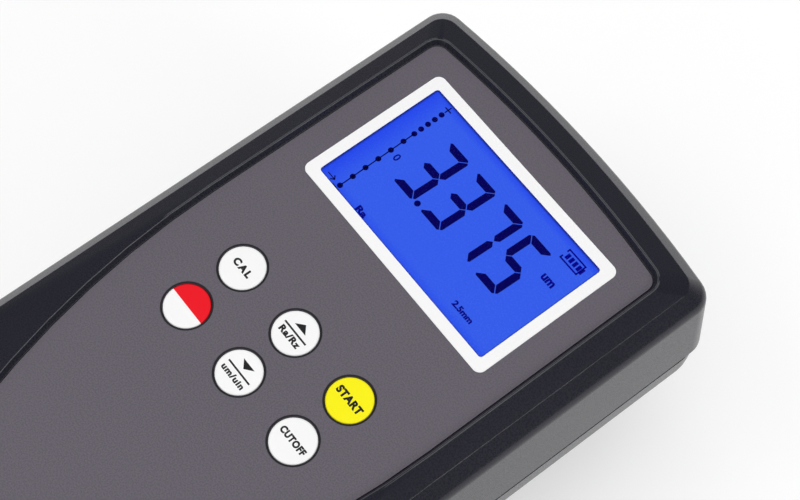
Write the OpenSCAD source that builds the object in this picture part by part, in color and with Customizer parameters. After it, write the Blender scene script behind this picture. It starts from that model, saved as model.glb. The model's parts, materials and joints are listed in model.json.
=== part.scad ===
// Handheld surface roughness tester: moulded case, push keys, display and stylus traverse drive.
// Millimetres. Origin at the centre of the base, +Y to the display end, +Z out of the front panel.

/* [Case] */
// Overall length of the case
case_l = 140; // [136:1:156]
// Width of the case at the seam
case_w = 57; // [56:0.5:64]
// Height from the base to the rim of the front
case_h = 48; // [47:0.5:56]
// Height of the seam between the two case halves
seam_z = 31.5; // [30:0.5:34]
// Width of the shadow groove at the seam
seam_gap = 0.44; // [0.2:0.02:0.8]
// Wall thickness of both case halves
wall = 2.2; // [1.8:0.1:2.6]
// Thickness of the floor of the rear half
floor_t = 3; // [2.8:0.1:3.6]
// Thickness of the front plate under the overlay
plate_t = 2.2; // [1.8:0.1:2.8]
// Height of the tongue that locates the two halves
lip_h = 1.6; // [1:0.1:2.4]
// Clearance around the tongue
lip_fit = 0.12; // [0.05:0.01:0.3]

/* [Case outline] */
// Radius of the arched display end
end_arch_r = 200; // [120:5:300]
// Corner radius of the front half's display end at the seam
end_corner_r = 3.4; // [3:0.1:4]
// Corner radius of the rear half's display end at the seam
rear_corner_r = 5; // [4.6:0.1:6]
// Share of an inset that the front half's corners lose from their radius
corner_share = 0.35; // [0.2:0.05:0.5]
// Distance from the display end to where the sides start to taper
taper_start = 80; // [60:1:90]
// Radius of the tapering sides
taper_r = 140; // [130:5:180]
// Corner radius of the tail at the seam
tail_corner_r = 14; // [11:1:15]
// Radius of the arched tail end
tail_arch_r = 60; // [55:1:70]

/* [Case section] */
// Inset of the front half's wall at the shoulder, its moulding draft
draft_inset = 0.8; // [0.4:0.1:1.2]
// Inset of the rim crease
shoulder_inset = 2.9; // [2.4:0.1:3.4]
// Drop of the rim from its inner edge to the crease
rim_drop = 1.25; // [0.6:0.05:1.5]
// Width of the level edge round the panel bed
rim_land = 0.2; // [0.1:0.05:0.4]
// Drop of the shoulder from the top of the case to the wall
shoulder_drop = 3.5; // [2.6:0.1:4.4]
// Rounding between shoulder and wall
shoulder_r = 2.4; // [0.6:0.1:3]
// Rounding of the rim crease
crease_r = 0.3; // [0.2:0.05:0.6]
// Height of the upright band below the seam
band_h = 4.5; // [3.5:0.5:6]
// Inset at the foot of the upright band
band_inset = 0.2; // [0.1:0.1:0.5]
// Rounding between band and sloping side
band_r = 6; // [3:0.5:9]
// Inset of the base all round
base_inset = 11; // [10:0.5:11.5]
// Rounding of the base edge
base_edge_r = 3; // [2:0.25:3.5]
// Corner radius of the base at the display end
base_corner_r = 8; // [5:0.5:10]
// Corner radius of the base at the tail
base_tail_corner_r = 6; // [5:0.5:7]

/* [Overlay] */
// Distance from the side of the case to the printed front overlay
overlay_side_gap = 6.23; // [5.6:0.01:6.8]
// Length of the overlay
overlay_l = 99.2; // [97:0.1:104]
// Distance from the display end to the overlay
overlay_end_gap = 6.75; // [6.2:0.05:8]
// Radius of the overlay's arched end
overlay_arch_r = 183; // [120:1:260]
// Corner radius of the overlay at the display end
overlay_corner_r = 1.7; // [1:0.1:3]
// Distance from the overlay's arched end to where it starts to taper
overlay_taper_start = 37.9; // [30:0.1:42]
// Width that the overlay's sides taper to at its tip
overlay_tip_w = 10.86; // [10:0.02:14]
// Corner radius beside the overlay's tip
overlay_tip_corner_r = 6; // [4:0.5:7]
// Radius of the overlay's tip
overlay_tip_r = 26; // [22:1:32]
// Thickness of the overlay
overlay_t = 0.5; // [0.3:0.05:0.8]
// Depth of the overlay's face below the rim
panel_recess = 0.8; // [0.4:0.1:1.2]
// Gap between the overlay and the close walls of its bed
overlay_fit = 0.1; // [0.05:0.01:0.2]
// Gap between the overlay and the inner edge of the rim
overlay_gap = 0.57; // [0.3:0.01:0.7]

/* [Display] */
// Distance from the display end to the display's centre
display_end_gap = 22.3; // [21:0.1:24]
// Distance from the side of the overlay to the white window frame
frame_side_gap = 3.97; // [3.2:0.01:4.4]
// Height of the white window frame
frame_h = 22.8; // [22.4:0.1:24]
// Corner radius of the window frame
frame_corner_r = 1.1; // [0.6:0.1:2]
// Width of the frame's border around the clear window
frame_border = 1.52; // [1.3:0.01:2]
// Width of the display glass hidden under the frame
lcd_margin = 0.65; // [0.5:0.05:0.7]
// Thickness of the display glass
lcd_t = 2.8; // [2.4:0.1:3.2]
// Thickness of the backlight block
backlight_t = 3.5; // [3:0.1:4]
// Rise of the display glass above the overlay's bed
lcd_rise = 0.2; // [0.1:0.05:0.3]
// Width of the ledge that carries the clear window
ledge_w = 0.4; // [0.3:0.05:0.6]
// Thickness of the ledge under the clear window
ledge_t = 0.06; // [0.04:0.01:0.1]
// Width of each elastomer connector strip
strip_w = 2; // [1.5:0.1:2.6]
// Clearance of the display parts in the front
display_fit = 0.1; // [0.05:0.01:0.2]

/* [Keys] */
// Diameter of a key cap
key_d = 6.1; // [5.2:0.02:6.4]
// Distance from the side of the overlay to the middle of the outer keys
key_side_gap = 11.04; // [10:0.01:12]
// Spacing of the two key rows
key_pitch_y = 8.57; // [8.2:0.01:9.4]
// Distance from the display end to the middle of the keys
key_end_gap = 52.4; // [51:0.1:54]
// Height of a key cap above the overlay
key_proud = 0.05; // [0:0.05:0.6]
// Travel of a key
key_travel = 0.4; // [0.2:0.05:0.6]
// Running clearance of a key in the front plate and the overlay, on the radius
key_fit = 0.08; // [0.03:0.01:0.1]
// Diameter of the flange that keeps a key in
key_flange_d = 7.4; // [7.2:0.1:7.8]
// Thickness of the key flange
key_flange_t = 0.8; // [0.5:0.1:1]
// Height of a key switch above the board
switch_h = 2; // [1.6:0.1:2.2]

/* [Board] */
// Gap between the circuit board and the case wall
board_gap = 1; // [0.6:0.1:2]
// Length of the circuit board
board_l = 64; // [62:0.5:66]
// Thickness of the circuit board
board_t = 1.6; // [1:0.1:2]
// Distance from the display end to the board
board_end_gap = 7.5; // [6.5:0.5:9]

/* [Screws] */
// Shank diameter of the case screws
case_screw_d = 2.4; // [2:0.1:2.8]
// Length of the case screws under the head
case_screw_l = 11; // [9.5:0.5:12]
// Height of the seats of the case screws
case_screw_seat = 26; // [25:0.5:27]
// Inset of the upper case screws from the side
case_screw_inset = 7.2; // [7:0.1:7.3]
// Distance of the upper case screws from the display end
case_screw_end_gap = 13; // [12:0.5:15]
// Distance of the lower case screws from the middle line
tail_screw_x = 14.5; // [13.5:0.5:15]
// Distance of the lower case screws from the tail end
tail_screw_end_gap = 20; // [19:0.5:24]
// Diameter of the screw bosses in the front half
boss_d = 5.8; // [5:0.1:6]
// Shank diameter of the board, chassis and motor screws
small_screw_d = 1.8; // [1.4:0.1:2]
// Clearance of a screw in its hole, on the radius
screw_fit = 0.1; // [0.05:0.01:0.15]

/* [Battery] */
// Diameter of a battery cell
cell_d = 10.5; // [10:0.1:10.8]
// Length of a battery cell
cell_l = 44.5; // [43:0.1:45]
// Gap between neighbouring cells
cell_gap = 0.1; // [0.05:0.05:0.3]
// Room for a contact spring
spring_room = 3.1; // [2.6:0.1:3.4]
// Thickness of the contact strip
contact_t = 0.4; // [0.3:0.05:0.5]
// Distance from the display end to the cell bay's end wall
cell_end_gap = 12.4; // [12.2:0.1:13]
// Thickness of the cell bay's walls
rib_t = 1.5; // [1.2:0.1:1.8]

/* [Battery door] */
// Height of the door above the base plane
door_lift = 0.3; // [0.2:0.05:0.4]
// Height of the runners above the base plane
door_runner_z = 1.5; // [1.3:0.05:1.6]
// Thickness of the runners
door_runner_t = 1; // [0.8:0.05:1.1]
// Reach of each runner into its groove
door_runner_w = 1.4; // [1:0.1:1.6]
// Clearance around the door
door_fit = 0.15; // [0.08:0.01:0.2]
// Number of grip grooves on the door
grip_count = 5; // [3:1:6]

/* [Drive] */
// Thickness of the drive chassis plates
chassis_t = 1.5; // [1.2:0.1:1.6]
// Width of the drive chassis
chassis_w = 26; // [25.5:0.5:28]
// Length of the carriage
carriage_l = 7; // [6:0.5:7.5]
// Stroke of the pickup
stroke = 17.5; // [12:0.5:17.5]
// Diameter of the guide rods
guide_d = 2; // [1.6:0.1:2.4]
// Distance of each guide rod from the middle line
guide_x = 9.5; // [9:0.1:10]
// Height of the guide rods
guide_z = 12; // [11.5:0.1:13]
// Height of the lead screw
screw_z = 19.5; // [19.3:0.1:20.5]
// Diameter of the lead screw
screw_d = 3; // [2.6:0.1:3.2]
// Running clearance in the drive, on the radius
run_fit = 0.05; // [0.02:0.01:0.1]
// Module of the gears
gear_module = 0.4; // [0.38:0.01:0.42]
// Teeth of the motor pinion
pinion_teeth = 12; // [12:1:13]
// Teeth of the lead screw gear
gear_teeth = 36; // [35:1:36]
// Width of the gears
gear_w = 2.4; // [1.8:0.1:2.5]
// Diameter of the motor
motor_d = 12; // [11:0.1:12.4]
// Height of the motor across its flats
motor_flat = 10; // [9:0.1:10.2]
// Length of the motor
motor_l = 20; // [15:0.5:22]

/* [Pickup] */
// Diameter of the pickup tube
tube_d = 6; // [5:0.1:6.2]
// Height of the pickup's axis
tube_z = 7; // [6.9:0.05:7.4]
// Wall of the pickup tube
tube_wall = 0.6; // [0.4:0.05:0.8]
// Distance from the tail end to the front of the pickup
nose_setback = 8.6; // [8:0.1:12]
// Height of the skid above the base plane
skid_lift = 0.35; // [0.3:0.05:0.6]
// Width of the skid
skid_w = 3.8; // [3.2:0.1:4.4]
// Width of the pickup bay in the base
bay_w = 13; // [12:0.5:13.5]
// Height of the pickup bay
bay_h = 11.5; // [11.5:0.1:12]

/* [Hidden] */
$fn = 48;

// Colours, as the object shows them
black_plastic = [0.13, 0.13, 0.15];
panel_grey = [0.4, 0.37, 0.41];
key_white = [0.96, 0.96, 0.96];
key_yellow = [0.98, 0.94, 0.06];
key_red = [0.93, 0.12, 0.18];
lcd_blue = [0.2, 0.36, 0.92];
board_green = [0.08, 0.36, 0.2];
steel = [0.75, 0.76, 0.78];
brass = [0.8, 0.65, 0.3];
chip_black = [0.08, 0.08, 0.08];
nylon = [0.9, 0.89, 0.84];

// Small amount by which a cut passes a face
over = 1;

// Ends of the case and heights of its edges
end_y = case_l / 2;
tail_y = -case_l / 2;
taper_y = end_y - taper_start;
seam_lo = seam_z - seam_gap / 2;
seam_hi = seam_z + seam_gap / 2;
shoulder_z = case_h - shoulder_drop;
band_z = seam_lo - band_h;
panel_z = case_h - panel_recess;
bed_z = panel_z - overlay_t;
plate_in_z = bed_z - plate_t;
lip_inset = wall / 2;

// Front overlay, display stack and keys
overlay_w = case_w - 2 * overlay_side_gap;
overlay_taper_l = overlay_l - overlay_taper_start;
overlay_taper_in = (overlay_w - overlay_tip_w) / 2;
overlay_taper_r = (pow(overlay_taper_l, 2) + pow(overlay_taper_in, 2)) / (2 * overlay_taper_in);
frame_w = overlay_w - 2 * frame_side_gap;
view_w = frame_w - 2 * frame_border;
view_h = frame_h - 2 * frame_border;
lcd_w = view_w + 2 * lcd_margin;
lcd_h = view_h + 2 * lcd_margin;
display_y = end_y - display_end_gap;
lcd_top_z = bed_z + lcd_rise;
lcd_mid_z = lcd_top_z - lcd_t / 2;
lcd_bottom_z = lcd_top_z - lcd_t;
lens_z = lcd_top_z + ledge_t;
board_top_z = lcd_bottom_z - backlight_t;
board_bottom_z = board_top_z - board_t;
board_end_y = end_y - board_end_gap;
board_inset = wall + draft_inset + board_gap;
board_boss_gap = 0.6;
keys_y = end_y - key_end_gap;
key_pitch_x = overlay_w / 2 - key_side_gap;
key_r = key_d / 2;
key_rest_gap = 0.1;
key_edge_r = 0.25;
key_stem_r = 1.2;
key_flange_top = plate_in_z - key_rest_gap;
key_stem_z = board_top_z + switch_h + key_travel + key_rest_gap;
switch_w = 4.4;
plunger_h = 0.6;

// Small fits and margins
pilot_fit = 0.04;
pilot_spare = 0.5;
frame_fit = 0.02;
frame_hole_w = frame_w + 2 * frame_fit;
frame_hole_h = frame_h + 2 * frame_fit;
pane_sunk = 0.02;
strip_edge = 0.3;
lcd_inner_h = lcd_h - 2 * (strip_w + 2 * strip_edge);

// Screw bosses
case_screw_head_r = case_screw_d * 0.85;
case_screw_head_t = 1.5;
case_pilot_h = case_screw_seat + case_screw_l - seam_z;
screw_recess_r = case_screw_head_r + 0.3;
column_r = screw_recess_r + 1.2;
upper_screw_x = case_w / 2 - case_screw_inset;
upper_screw_y = end_y - case_screw_end_gap;
tail_screw_y = tail_y + tail_screw_end_gap;
case_screw_spots = [
    [upper_screw_x, upper_screw_y], [-upper_screw_x, upper_screw_y],
    [tail_screw_x, tail_screw_y], [-tail_screw_x, tail_screw_y]
];
board_boss_r = 2.2;
board_screw_side_gap = 8.2;
board_screw_up_gap = 9.5;
board_screw_down_gap = 9;
board_screw_grip = 3;
board_screw_x = case_w / 2 - board_screw_side_gap;
board_screw_ys = [
    keys_y + key_pitch_y / 2 + board_screw_up_gap,
    keys_y - key_pitch_y / 2 - board_screw_down_gap
];
board_screw_spots = [for (y = board_screw_ys, s = [-1, 1]) [s * board_screw_x, y]];
small_head_r = small_screw_d * 0.8;
small_head_t = 1.1;
chassis_screw_grip = 1.5;
motor_plate_side = 2;
motor_plate_top = 0.5;
bush_plate_side = 2.5;
bush_plate_top = 1.5;
motor_screw_grip = 1.5;

// Processor chip under the board
chip_w = 9;
chip_t = 1.4;
chip_lift = 0.1;
chip_edge = 2;
chip_legs = 10;
chip_leg_l = 0.9;
chip_leg_w = 0.35;
chip_leg_pitch = 0.8;

// Cell bay, counted from the display end
cell_pitch = cell_d + cell_gap;
cell_side = 0.4;
cell_half_w = cell_pitch / 2 + cell_d / 2 + cell_side;
cell_bay_end = end_y - cell_end_gap;
cell_play = 0.1;
cell_bay_start = cell_bay_end - cell_l - spring_room - contact_t - cell_play;
cell_low_z = floor_t + cell_play + cell_d / 2;
cell_zs = [cell_low_z, cell_low_z + cell_pitch];
cell_wall_z = cell_zs[1] + cell_d / 2;
nub_d = 3.8;
nub_l = 0.8;
contact_w = 7;
door_y = cell_bay_start + 0.8;
grip_w = 14;
grip_edge = 3;
grip_pitch = 1.8;
grip_groove = 0.8;
grip_depth = 0.4;

// Drive, counted from the cell bay towards the tail
chassis_rear_y = cell_bay_start - rib_t - 0.5;
carriage_play = 0.5;
chassis_inner_l = carriage_l + stroke + 2 * carriage_play;
plate_rear_in = chassis_rear_y - chassis_t;
plate_front_in = plate_rear_in - chassis_inner_l;
plate_front_y = plate_front_in - chassis_t;
carriage_y = plate_front_in + carriage_play;
bush_flange_t = 0.4;
gear_y = plate_front_y - bush_flange_t - 0.2 - gear_w;
bay_rear_y = gear_y - 1;
bay_y = bay_rear_y - 2;
pinion_r = gear_module * pinion_teeth / 2;
gear_r = gear_module * gear_teeth / 2;
motor_z = screw_z + pinion_r + gear_r;
screw_r = screw_d / 2;
guide_r = guide_d / 2;
tube_r = tube_d / 2;
bush_wall = 1;
bush_r = tube_r + run_fit + bush_wall;
bush_flange_w = 0.3;
screw_bush_r = screw_r + run_fit + bush_wall;
carriage_lobe = 0.6;
tube_clear = 0.4;
pressure_angle = 20;
root_depth = 1.25;
tip_height = 0.8;
tooth_fill = 0.86;
shaft_stub = 0.3;
shaft_grip = 4;
motor_cap = 1.2;
nut_r = screw_r + 1;
shaft_r = 0.6;
motor_boss_r = 2;
motor_screw_x = 4.5;
chassis_foot_t = 1.2;
chassis_foot_x = 5.5;
chassis_screw_x = chassis_w / 2 - 2.5;
chassis_screw_ys = [plate_front_in + 2.5, plate_rear_in - 2.5];

// Pickup, counted from the tail
nose_y = tail_y + nose_setback;
nose_l = 4.4;
plug_l = 5;
plug_r = tube_r - tube_wall - 0.03;
tube_front_y = nose_y + nose_l;
stylus_slot_w = 1.8;
stylus_y = nose_y + 2.4;
stylus_pivot_y = tube_front_y + 3;
stylus_pin_r = 0.4;
stylus_arm_w = 1.2;
stylus_drop = 0.05;
stylus_room = 1;
stylus_slot_top = 1.6;
stylus_post = 2.4;
stylus_cone = 0.9;
stylus_shank_r = 0.35;
stylus_tip_r = 0.03;
nose_edge = 0.8;
nose_round = 1.5;

// Points along an arc, from angle a0 to angle a1 in n steps
function arc(c, r, a0, a1, n) =
    [for (i = [0:n]) c + r * [cos(a0 + (a1 - a0) * i / n), sin(a0 + (a1 - a0) * i / n)]];

function all_but_last(v) = [for (i = [0:len(v) - 2]) v[i]];

// Left half of an outline whose right half runs from its end to its tail
function left_half(v) = [for (i = [len(v) - 2:-1:1]) [-v[i][0], v[i][1]]];

// Lower meeting point of two circles
function circles_meet(a, ra, b, rb) =
    let (d = norm(b - a), u = (b - a) / d, k = (ra * ra - rb * rb + d * d) / (2 * d))
    a + k * u + sqrt(ra * ra - k * k) * [u[1], -u[0]];

// Shield outline: arched end, round corners, straight sides, tapering arcs and a rounded tail
function shield(half_w, end, end_r, corner_r, break_y, side_r, tail_corner, tail_r, tail) =
    let (
        end_c = [0, end - end_r],
        corner_x = half_w - corner_r,
        corner_c = [corner_x, end_c[1] + sqrt(pow(end_r - corner_r, 2) - pow(corner_x, 2))],
        end_a = atan2(corner_c[1] - end_c[1], corner_c[0]),
        side_c = [half_w - side_r, break_y],
        tail_c = [0, tail + tail_r],
        turn_c = circles_meet(side_c, side_r - tail_corner, tail_c, tail_r - tail_corner),
        side_a = atan2(turn_c[1] - side_c[1], turn_c[0] - side_c[0]),
        tail_a = atan2(turn_c[1] - tail_c[1], turn_c[0] - tail_c[0]),
        right = concat(
            all_but_last(arc(end_c, end_r, 90, end_a, 7)),
            arc(corner_c, corner_r, end_a, 0, 7),
            all_but_last(arc(side_c, side_r, 0, side_a, 9)),
            all_but_last(arc(turn_c, tail_corner, side_a, tail_a, 9)),
            arc(tail_c, tail_r, tail_a, -90, 3)
        )
    )
    concat(right, left_half(right));

// Case outline at an inset from the seam, with the corner radii it has there
function case_outline(inset, corner_r, tail_corner) = shield(
    case_w / 2 - inset, end_y - inset, end_arch_r - inset, corner_r,
    taper_y, taper_r - inset, tail_corner, tail_arch_r - inset, tail_y + inset
);

// Outline of the front half: its corners shrink with the inset
function front_outline(inset) =
    case_outline(inset, end_corner_r - corner_share * inset, tail_corner_r - inset);

// Outline of the rear half: its corners blend from the seam's to the base's radii
function blend(a, b, k) = a + (b - a) * k;
function rear_outline(inset, inward) = case_outline(
    inset + inward,
    blend(rear_corner_r, base_corner_r, inset / base_inset) - inward,
    blend(tail_corner_r, base_tail_corner_r, inset / base_inset) - inward
);

// Outline of the overlay, grown all round by a gap
function overlay_outline(grow) = shield(
    overlay_w / 2 + grow, end_y - overlay_end_gap + grow, overlay_arch_r + grow, overlay_corner_r + grow,
    end_y - overlay_end_gap - overlay_taper_start, overlay_taper_r + grow, overlay_tip_corner_r + grow,
    overlay_tip_r + grow, end_y - overlay_end_gap - overlay_l - grow
);

// Rounding of a corner b between points a and c of a section
function short_turn(d) = d > 180 ? d - 360 : (d < -180 ? d + 360 : d);
function round_corner(a, b, c, r, n) =
    let (
        u = (a - b) / norm(a - b),
        v = (c - b) / norm(c - b),
        half = acos(u * v) / 2,
        centre = b + (u + v) / norm(u + v) * r / sin(half),
        from = b + u * r / tan(half) - centre,
        to = b + v * r / tan(half) - centre,
        a0 = atan2(from[1], from[0])
    )
    arc(centre, r, a0, a0 + short_turn(atan2(to[1], to[0]) - a0), n);

// Sections of the case halves as inset and height, from the bottom up
front_wall_foot = [0, seam_hi];
front_shoulder = [draft_inset, shoulder_z];
front_crease = [shoulder_inset, case_h - rim_drop];
front_rim = [overlay_side_gap - overlay_gap, case_h];
front_section = concat(
    [front_wall_foot],
    round_corner(front_wall_foot, front_shoulder, front_crease, shoulder_r, 5),
    round_corner(front_shoulder, front_crease, front_rim, crease_r, 2)
);
rear_base = [base_inset, 0];
rear_band = [band_inset, band_z];
rear_top = [0, seam_lo];
rear_section = concat(
    round_corner(rear_base + [base_edge_r, 0], rear_base, rear_band, base_edge_r, 5),
    round_corner(rear_base, rear_band, rear_top, band_r, 3),
    [rear_top]
);
floor_inset = blend(base_inset, band_inset, floor_t / band_z);
rear_inner_top = seam_lo + lip_h + over;

// Closed solid through a stack of outlines, each given with its height, from the bottom up
module skin(outlines, heights) {
    n = len(outlines[0]);
    top = len(outlines) - 1;
    points = [for (i = [0:top], p = outlines[i]) [p[0], p[1], heights[i]]];
    sides = [
        for (i = [0:top - 1], k = [0:n - 1])
            let (a = i * n + k, b = i * n + (k + 1) % n)
            each [[a, b, b + n], [a, b + n, a + n]]
    ];
    caps = [[for (k = [n - 1:-1:0]) k], [for (k = [0:n - 1]) top * n + k]];
    polyhedron(points = points, faces = concat(sides, caps), convexity = 4);
}

// Section in X and Z drawn out along Y
module along_y(y0, y1) {
    translate([0, y1, 0])
        rotate([90, 0, 0])
            linear_extrude(y1 - y0)
                children();
}

module rod_y(x, z, r, y0, y1) {
    along_y(y0, y1)
        translate([x, z])
            circle(r);
}

// Box between two corners
module block(a, b) {
    translate(a)
        cube(b - a);
}

module rounded_rect(w, h, r) {
    square([w - 2 * r, h], center = true);
    square([w, h - 2 * r], center = true);
    for (sx = [-1, 1], sy = [-1, 1])
        translate([sx * (w / 2 - r), sy * (h / 2 - r)])
            circle(r);
}

function key_spot(col, row) = [col * key_pitch_x, keys_y + row * key_pitch_y / 2];
key_spots = [for (row = [-1, 1], col = [-1:1]) key_spot(col, row)];

module front_bosses() {
    for (p = case_screw_spots)
        translate([p[0], p[1], seam_z])
            cylinder(d = boss_d, h = plate_in_z - seam_z + over);
    for (p = board_screw_spots)
        translate([p[0], p[1], board_top_z])
            cylinder(r = board_boss_r, h = plate_in_z - board_top_z + over);
}

module front_hollow() {
    skin([front_outline(wall), front_outline(wall + draft_inset)], [seam_hi - over, plate_in_z]);
    translate([0, 0, seam_hi - over])
        linear_extrude(over - seam_gap + lip_h + lip_fit)
            polygon(front_outline(lip_inset - lip_fit));
}

// Sunk bed of the overlay: close walls beside it, sloping ones up to the rim
module panel_bed() {
    skin(
        [
            overlay_outline(overlay_fit), overlay_outline(overlay_fit),
            overlay_outline(overlay_gap), overlay_outline(overlay_gap)
        ],
        [bed_z, panel_z, case_h, case_h + over]
    );
}

module front_shell() {
    color(black_plastic)
        difference() {
            skin(
                concat(
                    [for (s = front_section) front_outline(s[0])],
                    [overlay_outline(overlay_gap + rim_land)]
                ),
                concat([for (s = front_section) s[1]], [case_h])
            );
            difference() {
                front_hollow();
                front_bosses();
            }
            panel_bed();
            translate([0, display_y, plate_in_z - over])
                linear_extrude(plate_t + 2 * over)
                    square([lcd_w + 2 * display_fit, lcd_h + 2 * display_fit], center = true);
            for (p = key_spots)
                translate([p[0], p[1], plate_in_z - over])
                    cylinder(r = key_r + key_fit, h = plate_t + 2 * over);
            for (p = case_screw_spots)
                translate([p[0], p[1], seam_z - over])
                    cylinder(d = case_screw_d + pilot_fit, h = case_pilot_h + 2 * over);
            for (p = board_screw_spots)
                translate([p[0], p[1], board_top_z - over])
                    cylinder(d = small_screw_d + pilot_fit, h = board_screw_grip + over + pilot_spare);
        }
}

module rear_skin() {
    skin([for (s = rear_section) rear_outline(s[0], 0)], [for (s = rear_section) s[1]]);
}

module rear_hollow() {
    skin(
        [
            rear_outline(floor_inset, wall), rear_outline(band_inset, wall),
            rear_outline(0, wall), rear_outline(0, wall)
        ],
        [floor_t, band_z, seam_lo, rear_inner_top]
    );
}

// Walls inside the rear half: pickup bay, cell bay and screw columns
module rear_walls() {
    cell_out = cell_half_w + rib_t;
    block([-bay_w / 2 - wall, tail_y - over, -over], [bay_w / 2 + wall, bay_rear_y, bay_h + wall]);
    for (s = [-1, 1])
        translate([s * (cell_half_w + rib_t / 2) - rib_t / 2, cell_bay_start - rib_t, -over])
            cube([rib_t, cell_bay_end - cell_bay_start + 2 * rib_t, cell_wall_z + over]);
    for (y = [cell_bay_start - rib_t, cell_bay_end])
        translate([-cell_out, y, -over])
            cube([2 * cell_out, rib_t, cell_wall_z + over]);
    for (p = case_screw_spots)
        translate([p[0], p[1], -over])
            cylinder(r = column_r, h = seam_hi + over);
}

// Section of the battery door, grown by a clearance for its passage
module door_section(grow, bottom) {
    plate_w = cell_half_w - door_fit + grow;
    runner_w = cell_half_w + door_runner_w - door_fit + grow;
    translate([-plate_w, bottom])
        square([2 * plate_w, door_runner_z - bottom + door_runner_t / 2]);
    translate([-runner_w, door_runner_z - grow])
        square([2 * runner_w, door_runner_t + 2 * grow]);
}

module rear_shell() {
    color(black_plastic)
        difference() {
            union() {
                rear_skin();
                translate([0, 0, seam_lo - over])
                    linear_extrude(lip_h + over)
                        polygon(rear_outline(0, lip_inset));
            }
            difference() {
                rear_hollow();
                rear_walls();
            }
            block([-bay_w / 2, tail_y - over, -over], [bay_w / 2, bay_y, bay_h]);
            rod_y(0, tube_z, bush_r + pilot_fit, bay_y - over, bay_rear_y + over);
            along_y(door_y, end_y + over)
                door_section(door_fit, -over);
            block([-cell_half_w, door_y, -over], [cell_half_w, cell_bay_end - over, floor_t + over]);
            for (p = case_screw_spots)
                translate([p[0], p[1], -over]) {
                    cylinder(r = screw_recess_r, h = case_screw_seat + over);
                    cylinder(d = case_screw_d + 2 * screw_fit, h = seam_hi + 2 * over);
                }
            for (s = [-1, 1], y = chassis_screw_ys)
                translate([s * chassis_screw_x, y, floor_t - chassis_screw_grip - pilot_spare])
                    cylinder(d = small_screw_d + pilot_fit, h = floor_t);
        }
}

module battery_door() {
    color(black_plastic)
        difference() {
            intersection() {
                rear_skin();
                along_y(door_y + door_fit, end_y)
                    door_section(0, door_lift);
            }
            for (i = [0:grip_count - 1])
                translate([-grip_w / 2, cell_bay_end - grip_edge - i * grip_pitch, door_lift - over])
                    cube([grip_w, grip_groove, over + grip_depth]);
        }
}

module overlay() {
    color(panel_grey)
        translate([0, 0, bed_z])
            linear_extrude(overlay_t)
                difference() {
                    polygon(overlay_outline(0));
                    translate([0, display_y])
                        rounded_rect(frame_hole_w, frame_hole_h, frame_corner_r + frame_fit);
                    for (p = key_spots)
                        translate(p)
                            circle(key_r + key_fit);
                }
}

// Box on the display's middle line, given by its width, height and z range
module display_block(w, h, z0, z1) {
    translate([-w / 2, display_y - h / 2, z0])
        cube([w, h, z1 - z0]);
}

// Frame over the display glass, stepped to carry the clear window
module window_frame() {
    lens_w = view_w + 2 * ledge_w;
    lens_h = view_h + 2 * ledge_w;
    color(key_white)
        difference() {
            translate([0, display_y, bed_z])
                linear_extrude(overlay_t)
                    rounded_rect(frame_w, frame_h, frame_corner_r);
            display_block(lcd_w + 2 * display_fit, lcd_h + 2 * display_fit, bed_z - over, lcd_top_z);
            display_block(view_w, view_h, bed_z - over, panel_z + over);
            display_block(lens_w, lens_h, lens_z, panel_z + over);
        }
}

module window_pane() {
    lens_w = view_w + 2 * (ledge_w - display_fit);
    lens_h = view_h + 2 * (ledge_w - display_fit);
    color([0.8, 0.9, 1, 0.3])
        display_block(lens_w, lens_h, lens_z, panel_z - pane_sunk);
}

module lcd_panel() {
    color(lcd_blue) {
        display_block(lcd_w, lcd_h, lcd_mid_z, lcd_top_z);
        display_block(lcd_w, lcd_inner_h, lcd_bottom_z, lcd_mid_z);
    }
}

module backlight() {
    color(nylon)
        display_block(lcd_w, lcd_inner_h, board_top_z, lcd_bottom_z);
}

module zebra_strips() {
    color([0.85, 0.5, 0.6])
        for (s = [-1, 1])
            translate([0, s * (lcd_h / 2 - strip_edge - strip_w / 2), 0])
                display_block(lcd_w - 2 * strip_edge, strip_w, board_top_z, lcd_mid_z);
}

// Turned key cap with its flange and the stem that pushes the switch
module key(col, row) {
    spot = key_spot(col, row);
    top = panel_z + key_proud;
    flange_low = key_flange_top - key_flange_t;
    translate([spot[0], spot[1], 0])
        rotate_extrude()
            polygon(concat(
                [[0, key_stem_z], [key_stem_r, key_stem_z], [key_stem_r, flange_low]],
                [
                    [key_flange_d / 2, flange_low], [key_flange_d / 2, key_flange_top],
                    [key_r, key_flange_top]
                ],
                arc([key_r - key_edge_r, top - key_edge_r], key_edge_r, 0, 90, 4),
                [[0, top]]
            ));
}

module power_key() {
    color(key_red)
        key(-1, -1);
}

module cal_key() {
    color(key_white)
        key(-1, 1);
}

module up_key() {
    color(key_white)
        key(0, 1);
}

module down_key() {
    color(key_white)
        key(0, -1);
}

module start_key() {
    color(key_yellow)
        key(1, 1);
}

module cutoff_key() {
    color(key_white)
        key(1, -1);
}

module main_board() {
    color(board_green)
        translate([0, 0, board_bottom_z])
            linear_extrude(board_t)
                difference() {
                    intersection() {
                        polygon(front_outline(board_inset));
                        translate([-case_w / 2, board_end_y - board_l])
                            square([case_w, board_l]);
                    }
                    for (s = [-1, 1])
                        translate([s * upper_screw_x, upper_screw_y])
                            circle(d = boss_d + 2 * board_boss_gap);
                    for (p = board_screw_spots)
                        translate(p)
                            circle(d = small_screw_d + 2 * screw_fit);
                }
}

module key_switches() {
    color(steel)
        for (p = key_spots)
            translate([p[0], p[1], board_top_z]) {
                translate([-switch_w / 2, -switch_w / 2, 0])
                    cube([switch_w, switch_w, switch_h - plunger_h]);
                cylinder(r = key_stem_r, h = switch_h);
            }
}

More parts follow.
